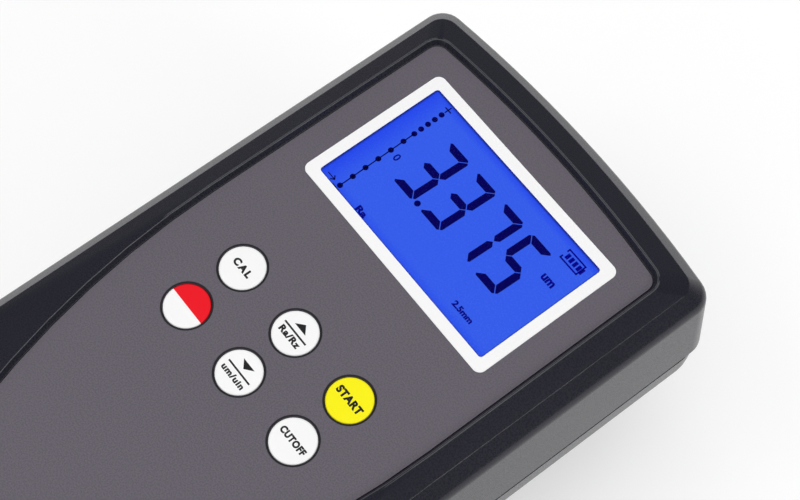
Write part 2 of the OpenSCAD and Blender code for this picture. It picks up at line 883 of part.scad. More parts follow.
module processor_chip() {
    chip_y = board_end_y - board_l + chip_edge + chip_w / 2;
    chip_leg_x = (chip_w + chip_leg_l) / 2;
    color(chip_black)
        translate([0, chip_y, board_bottom_z - chip_t]) {
            translate([-chip_w / 2, -chip_w / 2, 0])
                cube([chip_w, chip_w, chip_t - chip_lift]);
            for (s = [-1, 1], i = [0:chip_legs - 1])
                translate([s * chip_leg_x, (i - (chip_legs - 1) / 2) * chip_leg_pitch, chip_t / 2])
                    translate([-chip_leg_l / 2 - chip_lift, -chip_leg_w / 2, 0])
                        cube([chip_leg_l + 2 * chip_lift, chip_leg_w, chip_t / 2]);
        }
}

// Pan head screw pointing up, with the underside of its head at z = 0
module screw_up(shank_d, length, head_r, head_t) {
    cylinder(d = shank_d, h = length);
    translate([0, 0, -head_t])
        difference() {
            cylinder(r = head_r, h = head_t);
            for (a = [0, 90])
                rotate(a)
                    translate([-head_r * 0.6, -head_r * 0.12, -over])
                        cube([head_r * 1.2, head_r * 0.24, over + head_t / 2]);
        }
}

module small_screw(length) {
    screw_up(small_screw_d, length, small_head_r, small_head_t);
}

module board_screws() {
    color(steel)
        for (p = board_screw_spots)
            translate([p[0], p[1], board_bottom_z])
                small_screw(board_t + board_screw_grip);
}

module case_screws() {
    color(steel)
        for (p = case_screw_spots)
            translate([p[0], p[1], case_screw_seat])
                screw_up(case_screw_d, case_screw_l, case_screw_head_r, case_screw_head_t);
}

// Place each cell's parts: side, height, and the way its raised pole points
module each_cell() {
    for (s = [-1, 1], row = [0, 1])
        translate([s * cell_pitch / 2, (cell_bay_start + cell_bay_end) / 2, cell_zs[row]])
            rotate(s * (row - 0.5) > 0 ? 0 : 180)
                children();
}

module battery_cells() {
    bay = cell_bay_end - cell_bay_start;
    pole_y = bay / 2 - contact_t - cell_play;
    color([0.75, 0.6, 0.25])
        each_cell() {
            rod_y(0, 0, cell_d / 2, pole_y - cell_l, pole_y - nub_l);
            rod_y(0, 0, nub_d / 2, pole_y - nub_l - over, pole_y);
        }
}

module cell_plates() {
    bay = cell_bay_end - cell_bay_start;
    half = contact_w / 2;
    color(steel)
        each_cell()
            block([-half, bay / 2 - contact_t, -half], [half, bay / 2, half]);
}

// Bowed leaf on a base strip, pressing on the flat pole
module cell_springs() {
    bay = cell_bay_end - cell_bay_start;
    reach = spring_room - cell_play;
    half = contact_w / 2;
    color(steel)
        each_cell()
            translate([-half, -bay / 2, 0])
                rotate([90, 0, 90])
                    linear_extrude(contact_w)
                        difference() {
                            polygon([
                                [0, -half], [contact_t, -half],
                                [contact_t, -0.7 * half], [reach, -0.15 * half],
                                [reach, 0.15 * half], [contact_t, 0.7 * half],
                                [contact_t, half], [0, half]
                            ]);
                            polygon([
                                [contact_t, -0.55 * half], [reach - contact_t, -0.1 * half],
                                [reach - contact_t, 0.1 * half], [contact_t, 0.55 * half]
                            ]);
                        }
}

// Outline and holes of the two upright chassis plates
module guide_holes() {
    for (s = [-1, 1])
        translate([s * guide_x, guide_z])
            circle(guide_r + pilot_fit / 2);
    translate([0, screw_z])
        circle(screw_bush_r + pilot_fit / 2);
}

module upright(top_w, top_z) {
    translate([-chassis_w / 2, floor_t])
        square([chassis_w, guide_z + guide_d + 1 - floor_t]);
    translate([-top_w / 2, floor_t])
        square([top_w, top_z - floor_t]);
}

module drive_chassis() {
    color(steel) {
        along_y(plate_front_y, plate_front_in)
            difference() {
                upright(motor_d + 2 * motor_plate_side, motor_z + motor_d / 2 + motor_plate_top);
                guide_holes();
                translate([0, tube_z])
                    circle(tube_r + tube_clear);
                translate([0, motor_z])
                    circle(motor_boss_r + screw_fit);
                for (s = [-1, 1])
                    translate([s * motor_screw_x, motor_z])
                        circle(d = small_screw_d + 2 * screw_fit);
            }
        along_y(plate_rear_in, chassis_rear_y)
            difference() {
                upright(2 * (screw_bush_r + bush_plate_side), screw_z + screw_bush_r + bush_plate_top);
                guide_holes();
            }
        difference() {
            for (s = [-1, 1])
                translate([s > 0 ? chassis_foot_x : -chassis_w / 2, plate_front_y, floor_t])
                    cube([chassis_w / 2 - chassis_foot_x, chassis_rear_y - plate_front_y, chassis_foot_t]);
            for (s = [-1, 1], y = chassis_screw_ys)
                translate([s * chassis_screw_x, y, floor_t - over])
                    cylinder(d = small_screw_d + 2 * screw_fit, h = chassis_foot_t + 2 * over);
        }
    }
}

module chassis_screws() {
    color(steel)
        for (s = [-1, 1], y = chassis_screw_ys)
            translate([s * chassis_screw_x, y, floor_t + chassis_foot_t])
                rotate([180, 0, 0])
                    small_screw(chassis_foot_t + chassis_screw_grip);
}

module guide_rods() {
    color(steel)
        for (s = [-1, 1])
            rod_y(s * guide_x, guide_z, guide_r, plate_front_y, chassis_rear_y);
}

module drive_motor() {
    motor_end = plate_front_in + motor_l;
    color(steel)
        difference() {
            union() {
                along_y(plate_front_in, motor_end)
                    translate([0, motor_z])
                        intersection() {
                            circle(d = motor_d);
                            square([motor_d, motor_flat], center = true);
                        }
                rod_y(0, motor_z, motor_boss_r, plate_front_y, plate_front_in + over);
                rod_y(0, motor_z, motor_boss_r, motor_end - over, motor_end + motor_cap);
            }
            rod_y(0, motor_z, shaft_r + run_fit, plate_front_y - over, plate_front_in + shaft_grip + over);
            for (s = [-1, 1])
                rod_y(s * motor_screw_x, motor_z, (small_screw_d + pilot_fit) / 2, plate_front_in - over,
                    plate_front_in + motor_screw_grip + pilot_spare);
        }
}

module motor_screws() {
    color(steel)
        for (s = [-1, 1])
            translate([s * motor_screw_x, plate_front_y, motor_z])
                rotate([-90, 0, 0])
                    small_screw(chassis_t + motor_screw_grip);
}

// Angle in degrees by which an involute has turned at radius r
function involute(r, base) = r <= base ? 0 : tan(acos(base / r)) * 180 / PI - acos(base / r);

// Gear outline with involute flanks and a tooth on the +X axis
function gear_outline(teeth) =
    let (
        pitch_r = gear_module * teeth / 2,
        base = pitch_r * cos(pressure_angle),
        root = pitch_r - root_depth * gear_module,
        tip = pitch_r + tip_height * gear_module,
        radii = concat([root], [for (i = [0:4]) blend(max(base, root + 0.02), tip, i / 4)]),
        half = [for (r = radii) 90 / teeth * tooth_fill + involute(pitch_r, base) - involute(r, base)],
        top = len(radii) - 1
    )
    [
        for (i = [0:teeth - 1], k = [0:2 * top + 1])
            let (j = k <= top ? k : 2 * top + 1 - k, a = 360 * i / teeth + (k <= top ? -half[j] : half[j]))
            radii[j] * [cos(a), sin(a)]
    ];

module motor_pinion() {
    color(brass) {
        along_y(gear_y, gear_y + gear_w)
            translate([0, motor_z])
                rotate(-90)
                    polygon(gear_outline(pinion_teeth));
        rod_y(0, motor_z, shaft_r, gear_y - shaft_stub, plate_front_in + shaft_grip);
    }
}

module screw_gear() {
    color(nylon)
        along_y(gear_y, gear_y + gear_w)
            translate([0, screw_z])
                difference() {
                    rotate(90 + 180 / gear_teeth)
                        polygon(gear_outline(gear_teeth));
                    circle(screw_r + pilot_fit / 2);
                }
}

module lead_screw() {
    color(steel)
        rod_y(0, screw_z, screw_r, gear_y - shaft_stub, chassis_rear_y + shaft_stub);
}

module screw_bushes() {
    color(brass)
        for (y = [plate_front_y, chassis_rear_y + bush_flange_t])
            difference() {
                union() {
                    rod_y(0, screw_z, screw_bush_r + 0.8, y - bush_flange_t, y);
                    rod_y(0, screw_z, screw_bush_r, y > 0 ? plate_rear_in : y - bush_flange_t,
                        y > 0 ? y : plate_front_in);
                }
                rod_y(0, screw_z, screw_r + run_fit, plate_front_y - 2, chassis_rear_y + 2);
            }
}

module lead_nut() {
    color(brass)
        along_y(carriage_y, carriage_y + carriage_l)
            translate([0, screw_z])
                difference() {
                    circle(nut_r);
                    circle(screw_r + run_fit);
                }
}

module carriage() {
    color(nylon)
        along_y(carriage_y, carriage_y + carriage_l)
            difference() {
                union() {
                    translate([0, tube_z])
                        circle(tube_r + carriage_lobe);
                    translate([-tube_r, tube_z])
                        square([tube_d, screw_z - tube_z]);
                    translate([-guide_x - 2.4, guide_z - 2])
                        square([2 * guide_x + 4.8, 4]);
                    translate([0, screw_z])
                        circle(nut_r + carriage_lobe);
                }
                for (s = [-1, 1])
                    translate([s * guide_x, guide_z])
                        circle(guide_r + run_fit);
                translate([0, tube_z])
                    circle(tube_r + pilot_fit / 2);
                translate([0, screw_z])
                    circle(nut_r + pilot_fit / 2);
            }
}

module pickup_tube() {
    color(steel)
        along_y(tube_front_y, carriage_y + carriage_l)
            translate([0, tube_z])
                difference() {
                    circle(tube_r);
                    circle(tube_r - tube_wall);
                }
}

module pickup_bush() {
    color(brass)
        difference() {
            union() {
                rod_y(0, tube_z, bush_r, bay_y - bush_flange_t, bay_rear_y);
                rod_y(0, tube_z, bush_r + bush_flange_w, bay_y - bush_flange_t, bay_y);
            }
            rod_y(0, tube_z, tube_r + run_fit, bay_y - over, bay_rear_y + over);
        }
}

// Short rod across the pickup at the stylus pivot
module pivot_rod(r, w) {
    translate([-w / 2, stylus_pivot_y, tube_z])
        rotate([0, 90, 0])
            cylinder(r = r, h = w);
}

// Nose with the skid under it, slotted for the stylus arm
module pickup_nose() {
    skid_l = nose_l - nose_edge;
    skid_y = tube_front_y - skid_l / 2;
    color(chip_black)
        difference() {
            union() {
                translate([0, tube_front_y, tube_z])
                    rotate([90, 0, 0])
                        rotate_extrude()
                            polygon(concat(
                                [[0, -plug_l], [plug_r, -plug_l], [plug_r, 0], [tube_r, 0]],
                                arc([tube_r - nose_round, nose_l - nose_round], nose_round, 0, 90, 5),
                                [[0, nose_l]]
                            ));
                translate([-skid_w / 2, skid_y, skid_lift + skid_l / 2])
                    rotate([0, 90, 0])
                        cylinder(d = skid_l, h = skid_w);
                block([-skid_w / 2, skid_y - skid_l / 2, skid_lift + skid_l / 2],
                    [skid_w / 2, skid_y + skid_l / 2, tube_z]);
            }
            block([-stylus_slot_w / 2, stylus_y - stylus_room, -over],
                [stylus_slot_w / 2, tube_front_y + plug_l + over, tube_z + stylus_slot_top]);
            pivot_rod(stylus_pin_r + pilot_fit / 2, 2 * tube_d);
        }
}

module stylus_pin() {
    color(steel)
        pivot_rod(stylus_pin_r, 2 * plug_r - 0.3);
}

module stylus_arm() {
    half = stylus_arm_w / 2;
    color(steel)
        difference() {
            union() {
                block([-half, stylus_y - half, tube_z - half], [half, stylus_pivot_y, tube_z + half]);
                block([-half, stylus_y - half, tube_z - stylus_post], [half, stylus_y + half, tube_z]);
                pivot_rod(stylus_pin_r + 0.6, stylus_arm_w);
            }
            pivot_rod(stylus_pin_r + run_fit, 2 * stylus_arm_w);
        }
}

module stylus_tip() {
    tip_z = skid_lift - stylus_drop;
    shank_h = tube_z - stylus_post - tip_z - stylus_cone;
    color(steel)
        translate([0, stylus_y, tip_z]) {
            cylinder(r1 = stylus_tip_r, r2 = stylus_shank_r, h = stylus_cone);
            translate([0, 0, stylus_cone])
                cylinder(r = stylus_shank_r, h = shank_h);
        }
}

front_shell();
rear_shell();
battery_door();
overlay();
window_frame();
window_pane();
lcd_panel();
backlight();
zebra_strips();
power_key();
cal_key();
up_key();
down_key();
start_key();
cutoff_key();
main_board();
key_switches();
processor_chip();
board_screws();
case_screws();
battery_cells();
cell_springs();
cell_plates();
drive_chassis();
chassis_screws();
guide_rods();
drive_motor();
motor_screws();
motor_pinion();
screw_gear();
lead_screw();
screw_bushes();
lead_nut();
carriage();
pickup_tube();
pickup_bush();
pickup_nose();
stylus_pin();
stylus_arm();
stylus_tip();
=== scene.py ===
import json
import math

import bpy
from bpy.props import FloatProperty, FloatVectorProperty, PointerProperty, StringProperty
from bpy.types import Operator, Panel, PropertyGroup
from mathutils import Matrix, Vector

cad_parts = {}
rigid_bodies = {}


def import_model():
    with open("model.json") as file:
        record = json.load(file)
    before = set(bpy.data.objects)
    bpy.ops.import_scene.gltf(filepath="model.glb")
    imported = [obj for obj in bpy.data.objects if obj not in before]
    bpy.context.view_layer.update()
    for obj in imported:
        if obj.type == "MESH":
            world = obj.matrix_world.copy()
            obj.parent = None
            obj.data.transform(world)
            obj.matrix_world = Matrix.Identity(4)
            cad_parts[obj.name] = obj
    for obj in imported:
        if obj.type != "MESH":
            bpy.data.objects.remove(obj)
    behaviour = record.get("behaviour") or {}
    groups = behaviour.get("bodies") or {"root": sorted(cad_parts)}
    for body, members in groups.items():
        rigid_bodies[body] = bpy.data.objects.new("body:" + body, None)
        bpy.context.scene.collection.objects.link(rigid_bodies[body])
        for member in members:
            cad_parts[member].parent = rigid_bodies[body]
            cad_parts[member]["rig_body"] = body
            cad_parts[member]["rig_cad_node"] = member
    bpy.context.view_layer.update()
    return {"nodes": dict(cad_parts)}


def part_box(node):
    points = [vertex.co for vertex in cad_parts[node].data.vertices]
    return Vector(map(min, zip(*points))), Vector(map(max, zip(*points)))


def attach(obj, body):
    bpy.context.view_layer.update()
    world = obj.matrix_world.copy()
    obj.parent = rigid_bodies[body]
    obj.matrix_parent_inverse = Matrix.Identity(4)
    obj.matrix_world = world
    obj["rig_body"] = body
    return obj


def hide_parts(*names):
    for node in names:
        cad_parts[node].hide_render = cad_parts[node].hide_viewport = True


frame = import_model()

bl_info = {
    "name": "Roughness tester",
    "version": (1, 0, 0),
    "blender": (4, 5, 0),
    "location": "3D View > Sidebar > Tester",
    "description": "Dresses the solids of a handheld surface roughness tester and lights it",
    "category": "Object",
}

MM = 0.001

# Heights and centres that come from the solids
PANEL_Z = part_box("overlay")[1].z
BED_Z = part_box("overlay")[0].z
GLASS_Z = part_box("lcd_panel")[1].z
DISPLAY_MID = (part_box("window_pane")[0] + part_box("window_pane")[1]) / 2
KEYS = ("power", "cal", "up", "down", "start", "cutoff")

# Copies of solids: distance at which points merge, angles in degrees of flat and of sharp edges
MERGE = 0.002 * MM
FLAT, SHARP, SHELL_SHARP = 0.05, 30, 18
# Rounding of the smaller pieces' edges, and the gap in which the lens lies
PANEL_EDGE, FRAME_EDGE, LENS_EDGE, NOSE_EDGE = 0.04 * MM, 0.03 * MM, 0.02 * MM, 0.05 * MM
LENS_GAP = 0.01 * MM
# Sides of a printed ring, of the decimal point and of a scale dot
RING_SIDES, POINT_SIDES, DOT_SIDES = 96, 32, 24
# Letters one unit high: distance at which points merge and points along a curve
LETTER_MERGE, LETTER_STEPS = 0.0005, 6
# Values that most of a noise pattern lies between
NOISE_LOW, NOISE_HIGH = 0.3, 0.7
# Size of the faint mottle of plastic, and its refraction on the case
MOTTLE = 9 * MM
PLASTIC_IOR = 1.46


def colour_property(name, description, default):
    return FloatVectorProperty(
        name=name, description=description, default=default, subtype="COLOR", size=3, min=0, max=1
    )


def length_property(name, description, default):
    return FloatProperty(
        name=name, description=description, default=default, unit="LENGTH", precision=5, min=0
    )


def share_property(name, description, default):
    return FloatProperty(
        name=name, description=description, default=default, subtype="FACTOR", min=0, max=1
    )


def power_property(name, description, default):
    return FloatProperty(name=name, description=description, default=default, unit="POWER", min=0)


class CaseLook(PropertyGroup):
    """Moulded case"""

    plastic: colour_property("Plastic", "Colour of the moulded case", (0.0122, 0.0122, 0.0215))
    roughness: share_property("Roughness", "Roughness of the moulded case", 0.28)
    grain: length_property("Grain", "Size of the moulded grain", 0.22 * MM)
    grain_depth: length_property("Grain depth", "Depth of the moulded grain", 0.012 * MM)
    edge: length_property("Edge rounding", "Rounding of the case's sharp edges", 0.06 * MM)
    # Painted highlight: pale colour on the upper half's rim edge and crease, where light catches the
    # edges
    edge_highlight: colour_property("Edge highlight", "Colour of the painted highlight on the upper half's edges", (0.085, 0.088, 0.095))


class PanelLook(PropertyGroup):
    """Printed front overlay"""

    ground: colour_property("Ground", "Colour of the printed overlay", (0.119, 0.106, 0.130))
    fleck: share_property("Fleck", "Strength of the printed flecks", 0.12)
    fleck_size: length_property("Fleck size", "Size of the printed flecks", 0.20 * MM)
    ring: colour_property("Ring", "Colour of the ring printed around a key", (0.012, 0.011, 0.014))
    ring_inner: length_property("Ring inside", "Inner radius of the printed ring", 3.13 * MM)
    ring_outer: length_property("Ring outside", "Outer radius of the printed ring", 3.36 * MM)
    ink: length_property("Ink", "Thickness of printed ink", 0.012 * MM)


class DisplayLook(PropertyGroup):
    """Lit display"""

    lit: colour_property("Lit", "Colour of the lit display", (0.0300, 0.103, 0.810))
    # Painted shade: colour of the display where it darkens along three edges
    edge: colour_property("Edge", "Colour of the lit display along its edges", (0.0100, 0.050, 0.830))
    mark: colour_property("Mark", "Colour of a switched segment", (0.0014, 0.0004, 0.110))
    fine: colour_property("Fine", "Colour of the small marks and words", (0.0020, 0.0015, 0.290))
    border: colour_property("Border", "Colour of the window frame", (0.925, 0.920, 0.925))
    print_width: length_property("Print width", "Width of the border printed on the lens", 0.42 * MM)
    print_lap: length_property("Print lap", "How far the printed border laps over the frame", 0.35 * MM)
    print_corner: length_property("Print corner", "Rounding of the printed border's corners", 0.45 * MM)
    shadow: length_property("Shadow", "Width of the dark line along the lit field's edge", 0.32 * MM)
    reading: StringProperty(name="Reading", description="Number on the display", default="3.375")
    digit_height: length_property("Digit height", "Height of a digit", 9.37 * MM)
    digit_width: length_property("Digit width", "Width of a digit", 4.23 * MM)
    stroke: length_property("Stroke", "Width of a segment", 1.07 * MM)
    split: length_property("Split", "Gap between two segments", 0.11 * MM)
    clip: length_property("Clip", "Corner cut off the outside of a digit", 0.52 * MM)
    slant: FloatProperty(
        name="Slant", description="Slant of the digits", default=math.radians(2.0), subtype="ANGLE"
    )
    film: length_property("Film", "Thickness of a switched segment", 0.02 * MM)


class KeyLook(PropertyGroup):
    """Push keys"""

    white: colour_property("White", "Colour of the white keys", (0.915, 0.915, 0.915))
    yellow: colour_property("Yellow", "Colour of the start key", (0.95, 0.87, 0.006))
    red: colour_property("Red", "Colour of the upper half of the power key", (0.83, 0.006, 0.016))
    legend: colour_property("Legend", "Colour of the lettering", (0.010, 0.010, 0.012))
    legend_weight: share_property("Weight", "Thickening of the large letters by their size", 0.055)
    small_weight: share_property("Small weight", "Thickening of the small letters by their size", 0.05)


class DriveLook(PropertyGroup):
    """Traverse drive and pickup"""

    steel: colour_property("Steel", "Colour of the bright steel", (0.56, 0.57, 0.58))
    brass: colour_property("Brass", "Colour of the turned brass", (0.72, 0.53, 0.24))
    nylon: colour_property("Nylon", "Colour of the moulded gear and nut", (0.78, 0.75, 0.66))
    alloy: colour_property("Alloy", "Colour of the folded chassis", (0.60, 0.61, 0.63))
    pitch: length_property("Pitch", "Advance of the lead screw in a turn", 2.0 * MM)
    thread: length_property("Thread depth", "Depth of the lead screw's thread", 0.25 * MM)


class StageLook(PropertyGroup):
    """Floor, lights and camera"""

    floor: colour_property("Floor", "Colour of the floor", (0.58, 0.58, 0.58))
    lift: FloatProperty(name="Lift", description="White added to the floor in view", default=0.46, min=0)
    sky: FloatProperty(name="Sky", description="Strength of the surrounding light", default=0.46, min=0)
    key_light: power_property("Key", "Power of the main softbox", 3.1)
    fill_light: power_property("Fill", "Power of the fill softbox", 1.2)
    tail_light: power_property("Tail", "Power of the softbox at the tail", 0.8)
    strip_light: power_property("Strip", "Power of the strip light along the right side", 1.3)
    lens: FloatProperty(name="Lens", description="Focal length", default=84.42, unit="CAMERA")


LOOKS = {
    "tester_case": CaseLook,
    "tester_panel": PanelLook,
    "tester_display": DisplayLook,
    "tester_keys": KeyLook,
    "tester_drive": DriveLook,
    "tester_stage": StageLook,
}


# Modelling helpers


def rest():
    """Object mode with nothing selected"""
    if bpy.context.object and bpy.context.object.mode != "OBJECT":
        bpy.ops.object.mode_set(mode="OBJECT")
    bpy.ops.object.select_all(action="DESELECT")


def hold(piece):
    """Select one piece alone"""
    rest()
    piece.select_set(True)
    bpy.context.view_layer.objects.active = piece


def edit(piece):
    hold(piece)
    bpy.ops.object.mode_set(mode="EDIT")
    bpy.ops.mesh.select_all(action="SELECT")


def settle(piece):
    """Put the place of a piece into its mesh"""
    hold(piece)
    bpy.ops.object.transform_apply(location=True, rotation=True, scale=True)


def apply(piece, kind, **settings):
    """Add a modifier and apply it"""
    hold(piece)
    modifier = piece.modifiers.new(kind.title(), kind)
    for name, value in settings.items():
        setattr(modifier, name, value)
    bpy.ops.object.modifier_apply(modifier=modifier.name)


def join(pieces, name):
    rest()
    for piece in pieces:
        piece.select_set(True)
    bpy.context.view_layer.objects.active = pieces[0]
    if len(pieces) > 1:
        bpy.ops.object.join()
    joined = bpy.context.object
    joined.name = name
    joined.data.name = name
    return joined


def clad(piece, material):
    piece.data.materials.clear()
    piece.data.materials.append(material)


def finish_piece(piece, name, body, material):
    """Name, paint and hang a finished piece on its body"""
    settle(piece)
    piece.name = name
    piece.data.name = name
    clad(piece, material)
    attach(piece, body)


def dress(material, *nodes):
    """Give solids that keep their form a finish"""
    for node in nodes:
        clad(frame["nodes"][node], material)


def body_of(node):
    return frame["nodes"][node]["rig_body"]


def refined(node, material, edge, angle=SHARP, edge_highlight=None, above=0):
    """Merged copy of a solid to stand for it, its edges above a height eased and perhaps given a painted
    highlight
    """
    solid = frame["nodes"][node]
    body = body_of(node)
    hold(solid)
    bpy.ops.object.duplicate(linked=False)
    piece = bpy.context.object
    bpy.ops.object.parent_clear(type="CLEAR_KEEP_TRANSFORM")
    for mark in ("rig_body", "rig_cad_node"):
        del piece[mark]
    bpy.ops.mesh.customdata_custom_splitnormals_clear()
    edit(piece)
    bpy.ops.mesh.remove_doubles(threshold=MERGE)
    bpy.ops.mesh.dissolve_limited(angle_limit=math.radians(FLAT))
    weigh_edges(piece, angle, above)
    # The last material slot marks the faces that the bevel makes
    piece.data.materials.append(edge_highlight)
    last = len(piece.data.materials) - 1
    apply(piece, "BEVEL", width=edge, segments=2, limit_method="WEIGHT", harden_normals=False,
          miter_outer="MITER_ARC", material=last, use_clamp_overlap=edge_highlight is None)
    eased = [face.index for face in piece.data.polygons if face.material_index == last]
    hold(piece)
    bpy.ops.object.shade_smooth_by_angle(angle=math.radians(angle))
    apply(piece, "WEIGHTED_NORMAL", keep_sharp=True, weight=90)
    finish_piece(piece, node + "_skin", body, material)
    # The eased faces take the painted highlight colour
    if edge_highlight:
        piece.data.materials.append(edge_highlight)
        for index in eased:
            piece.data.polygons[index].material_index = 1
    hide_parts(node)
    return piece


def weigh_edges(piece, angle, above):
    """Mark a piece's sharp edges above a height for the bevel"""
    edit(piece)
    bpy.ops.mesh.select_mode(type="EDGE")
    bpy.ops.mesh.select_all(action="DESELECT")
    bpy.ops.mesh.edges_select_sharp(sharpness=math.radians(angle))
    rest()
    weights = piece.data.attributes.new("bevel_weight_edge", "FLOAT", "EDGE")
    for edge in piece.data.edges:
        foot = min(piece.data.vertices[i].co.z for i in edge.vertices)
        weights.data[edge.index].value = float(edge.select and foot >= above)
    bpy.context.tool_settings.mesh_select_mode = (True, False, False)


def draw_in(piece, gap):
    """Draw the faces of a boxy piece in by a gap, clear of what it lies on"""
    points = [vertex.co for vertex in piece.data.vertices]
    low, high = (Vector([pick(point[i] for point in points) for i in range(3)]) for pick in (min, max))
    middle = (low + high) / 2
    shrink = Matrix.Diagonal((*(1 - 2 * gap / side for side in high - low), 1))
    piece.data.transform(Matrix.Translation(middle) @ shrink @ Matrix.Translation(-middle))


def flat_disc(radius, centre, sides):
    rest()
    bpy.ops.mesh.primitive_circle_add(vertices=sides, radius=radius, fill_type="NGON", location=centre)
    return bpy.context.object


def flat_plate(width, height, centre):
    rest()
    bpy.ops.mesh.primitive_plane_add(size=1, location=centre)
    plate = bpy.context.object
    plate.scale = (width, height, 1)
    settle(plate)
    return plate


def flat_shape(points):
    """Flat face through points, made from a filled circle with as many corners"""
    rest()
    bpy.ops.mesh.primitive_circle_add(vertices=len(points), radius=MM, fill_type="NGON")
    shape = bpy.context.object
    for vertex, (x, y) in zip(shape.data.vertices, points):
        vertex.co = (x, y, 0)
    return shape


def round_corners(half_x, half_y, radius, steps=4):
    """Points round a rectangle with round corners, centred on the origin"""
    points = []
    for turn, (across, up) in enumerate(((1, 1), (-1, 1), (-1, -1), (1, -1))):
        for step in range(steps + 1):
            angle = math.pi / 2 * (turn + step / steps)
            points.append((across * (half_x - radius) + radius * math.cos(angle),
                           up * (half_y - radius) + radius * math.sin(angle)))
    return points


def thicken(piece, depth):
    """Give a flat mark its thickness upwards"""
    settle(piece)
    apply(piece, "SOLIDIFY", thickness=depth, offset=1)


def lettering(words, height, length, centre, weight, spacing=1.0):
    """Flat letters as a mesh, of a height and length in metres, centred on a point"""
    rest()
    bpy.ops.object.text_add(location=(0, 0, 0))
    text = bpy.context.object
    text.data.body = words
    text.data.size = 1
    text.data.offset = weight
    text.data.space_character = spacing
    text.data.resolution_u = LETTER_STEPS
    bpy.ops.object.convert(target="MESH")
    letters = bpy.context.object
    edit(letters)
    bpy.ops.mesh.remove_doubles(threshold=LETTER_MERGE)
    # Where strokes overlap, part the faces that share an edge, so that each letter thickens closed
    bpy.ops.mesh.select_mode(type="EDGE")
    bpy.ops.mesh.select_all(action="DESELECT")
    bpy.ops.mesh.select_non_manifold(extend=False, use_wire=False, use_boundary=False, use_verts=False)
    bpy.ops.mesh.edge_split(type="EDGE")
    bpy.ops.mesh.select_mode(type="VERT")
    rest()
    low = [min(v.co[i] for v in letters.data.vertices) for i in (0, 1)]
    high = [max(v.co[i] for v in letters.data.vertices) for i in (0, 1)]
    tall = height / (high[1] - low[1])
    wide = length / (high[0] - low[0])
    letters.data.transform(Matrix.Translation((-(low[0] + high[0]) / 2, -(low[1] + high[1]) / 2, 0)))
    letters.data.transform(Matrix.Diagonal((wide, tall, 1, 1)))
    letters.location = centre
    settle(letters)
    return letters


# Finishes


def new_finish(name, colour, roughness, metallic=0.0):
    """Material with its main shader, ready for a pattern"""
    material = bpy.data.materials.new(name)
    material.use_nodes = True
    shader = material.node_tree.nodes["Principled BSDF"]
    shader.inputs["Base Color"].default_value = (*colour, 1)
    shader.inputs["Roughness"].default_value = roughness
    shader.inputs["Metallic"].default_value = metallic
    return material, material.node_tree, shader


def link(tree, source, target):
    tree.links.new(source, target)


def add_node(tree, kind, **values):
    """Node with sockets set by name"""
    node = tree.nodes.new(kind)
    for name, value in values.items():
        if name in node.inputs:
            node.inputs[name].default_value = value
        else:
            setattr(node, name, value)
    return node


def place_of(tree, centre=(0, 0, 0), stretch=(1, 1, 1), turn=(0, 0, 0)):
    """Object coordinates, centred and stretched for a pattern"""
    where = add_node(tree, "ShaderNodeTexCoord")
    mapping = add_node(tree, "ShaderNodeMapping", vector_type="TEXTURE")
    mapping.inputs["Location"].default_value = centre
    mapping.inputs["Rotation"].default_value = turn
    mapping.inputs["Scale"].default_value = [1 / s for s in stretch]
    link(tree, where.outputs["Object"], mapping.inputs["Vector"])
    return mapping.outputs["Vector"]


def noise(tree, place, size, detail=2.0, rough=0.5):
    """Noise whose features are about size metres across"""
    node = add_node(tree, "ShaderNodeTexNoise", Scale=1 / size, Detail=detail, Roughness=rough)
    link(tree, place, node.inputs["Vector"])
    return node.outputs["Fac"]


def span(tree, value, low, high, out_low, out_high):
    """Value taken from one range to another"""
    node = add_node(tree, "ShaderNodeMapRange", clamp=True)
    limits = {"From Min": low, "From Max": high, "To Min": out_low, "To Max": out_high}
    for name, number in limits.items():
        node.inputs[name].default_value = number
    link(tree, value, node.inputs["Value"])
    return node.outputs["Result"]


def spread(tree, pattern, out_low, out_high):
    """Noise spread over a range"""
    return span(tree, pattern, NOISE_LOW, NOISE_HIGH, out_low, out_high)


def axes_of(tree, place):
    """X, Y and Z of a place"""
    node = add_node(tree, "ShaderNodeSeparateXYZ")
    link(tree, place, node.inputs["Vector"])
    return node.outputs


def larger(tree, first, second):
    node = add_node(tree, "ShaderNodeMath", operation="MAXIMUM")
    link(tree, first, node.inputs[0])
    link(tree, second, node.inputs[1])
    return node.outputs["Value"]


def unsigned(tree, value):
    node = add_node(tree, "ShaderNodeMath", operation="ABSOLUTE")
    link(tree, value, node.inputs[0])
    return node.outputs["Value"]


def blend_colours(tree, share, first, second):
    node = add_node(tree, "ShaderNodeMix", data_type="RGBA", clamp_factor=True)
    link(tree, share, node.inputs["Factor"])
    for socket, colour in ((node.inputs[6], first), (node.inputs[7], second)):
        if isinstance(colour, bpy.types.NodeSocket):
            link(tree, colour, socket)
        else:
            socket.default_value = (*colour, 1)
    return node.outputs[2]


def relief(tree, shader, height, depth):
    """Bump of a depth in metres"""
    node = add_node(tree, "ShaderNodeBump", Strength=1.0, Distance=depth)
    link(tree, height, node.inputs["Height"])
    link(tree, node.outputs["Normal"], shader.inputs["Normal"])


def tint(colour, factor):
    return tuple(min(1.0, c * factor) for c in colour)


def moulded(name, colour, roughness, grain, depth, mottle=0.12, glaze=0.06):
    """Moulded plastic: fine spark grain, slight mottle and uneven gloss"""
    material, tree, shader = new_finish(name, colour, roughness)
    place = place_of(tree)
    fine = noise(tree, place, grain, 3.0, 0.6)
    broad = noise(tree, place, MOTTLE, 2.0)
    shade = blend_colours(tree, broad, tint(colour, 1 - mottle), tint(colour, 1 + mottle))
    link(tree, shade, shader.inputs["Base Color"])
    link(tree, spread(tree, fine, roughness - glaze, roughness + glaze), shader.inputs["Roughness"])
    relief(tree, shader, fine, depth)
    return material, tree, shader


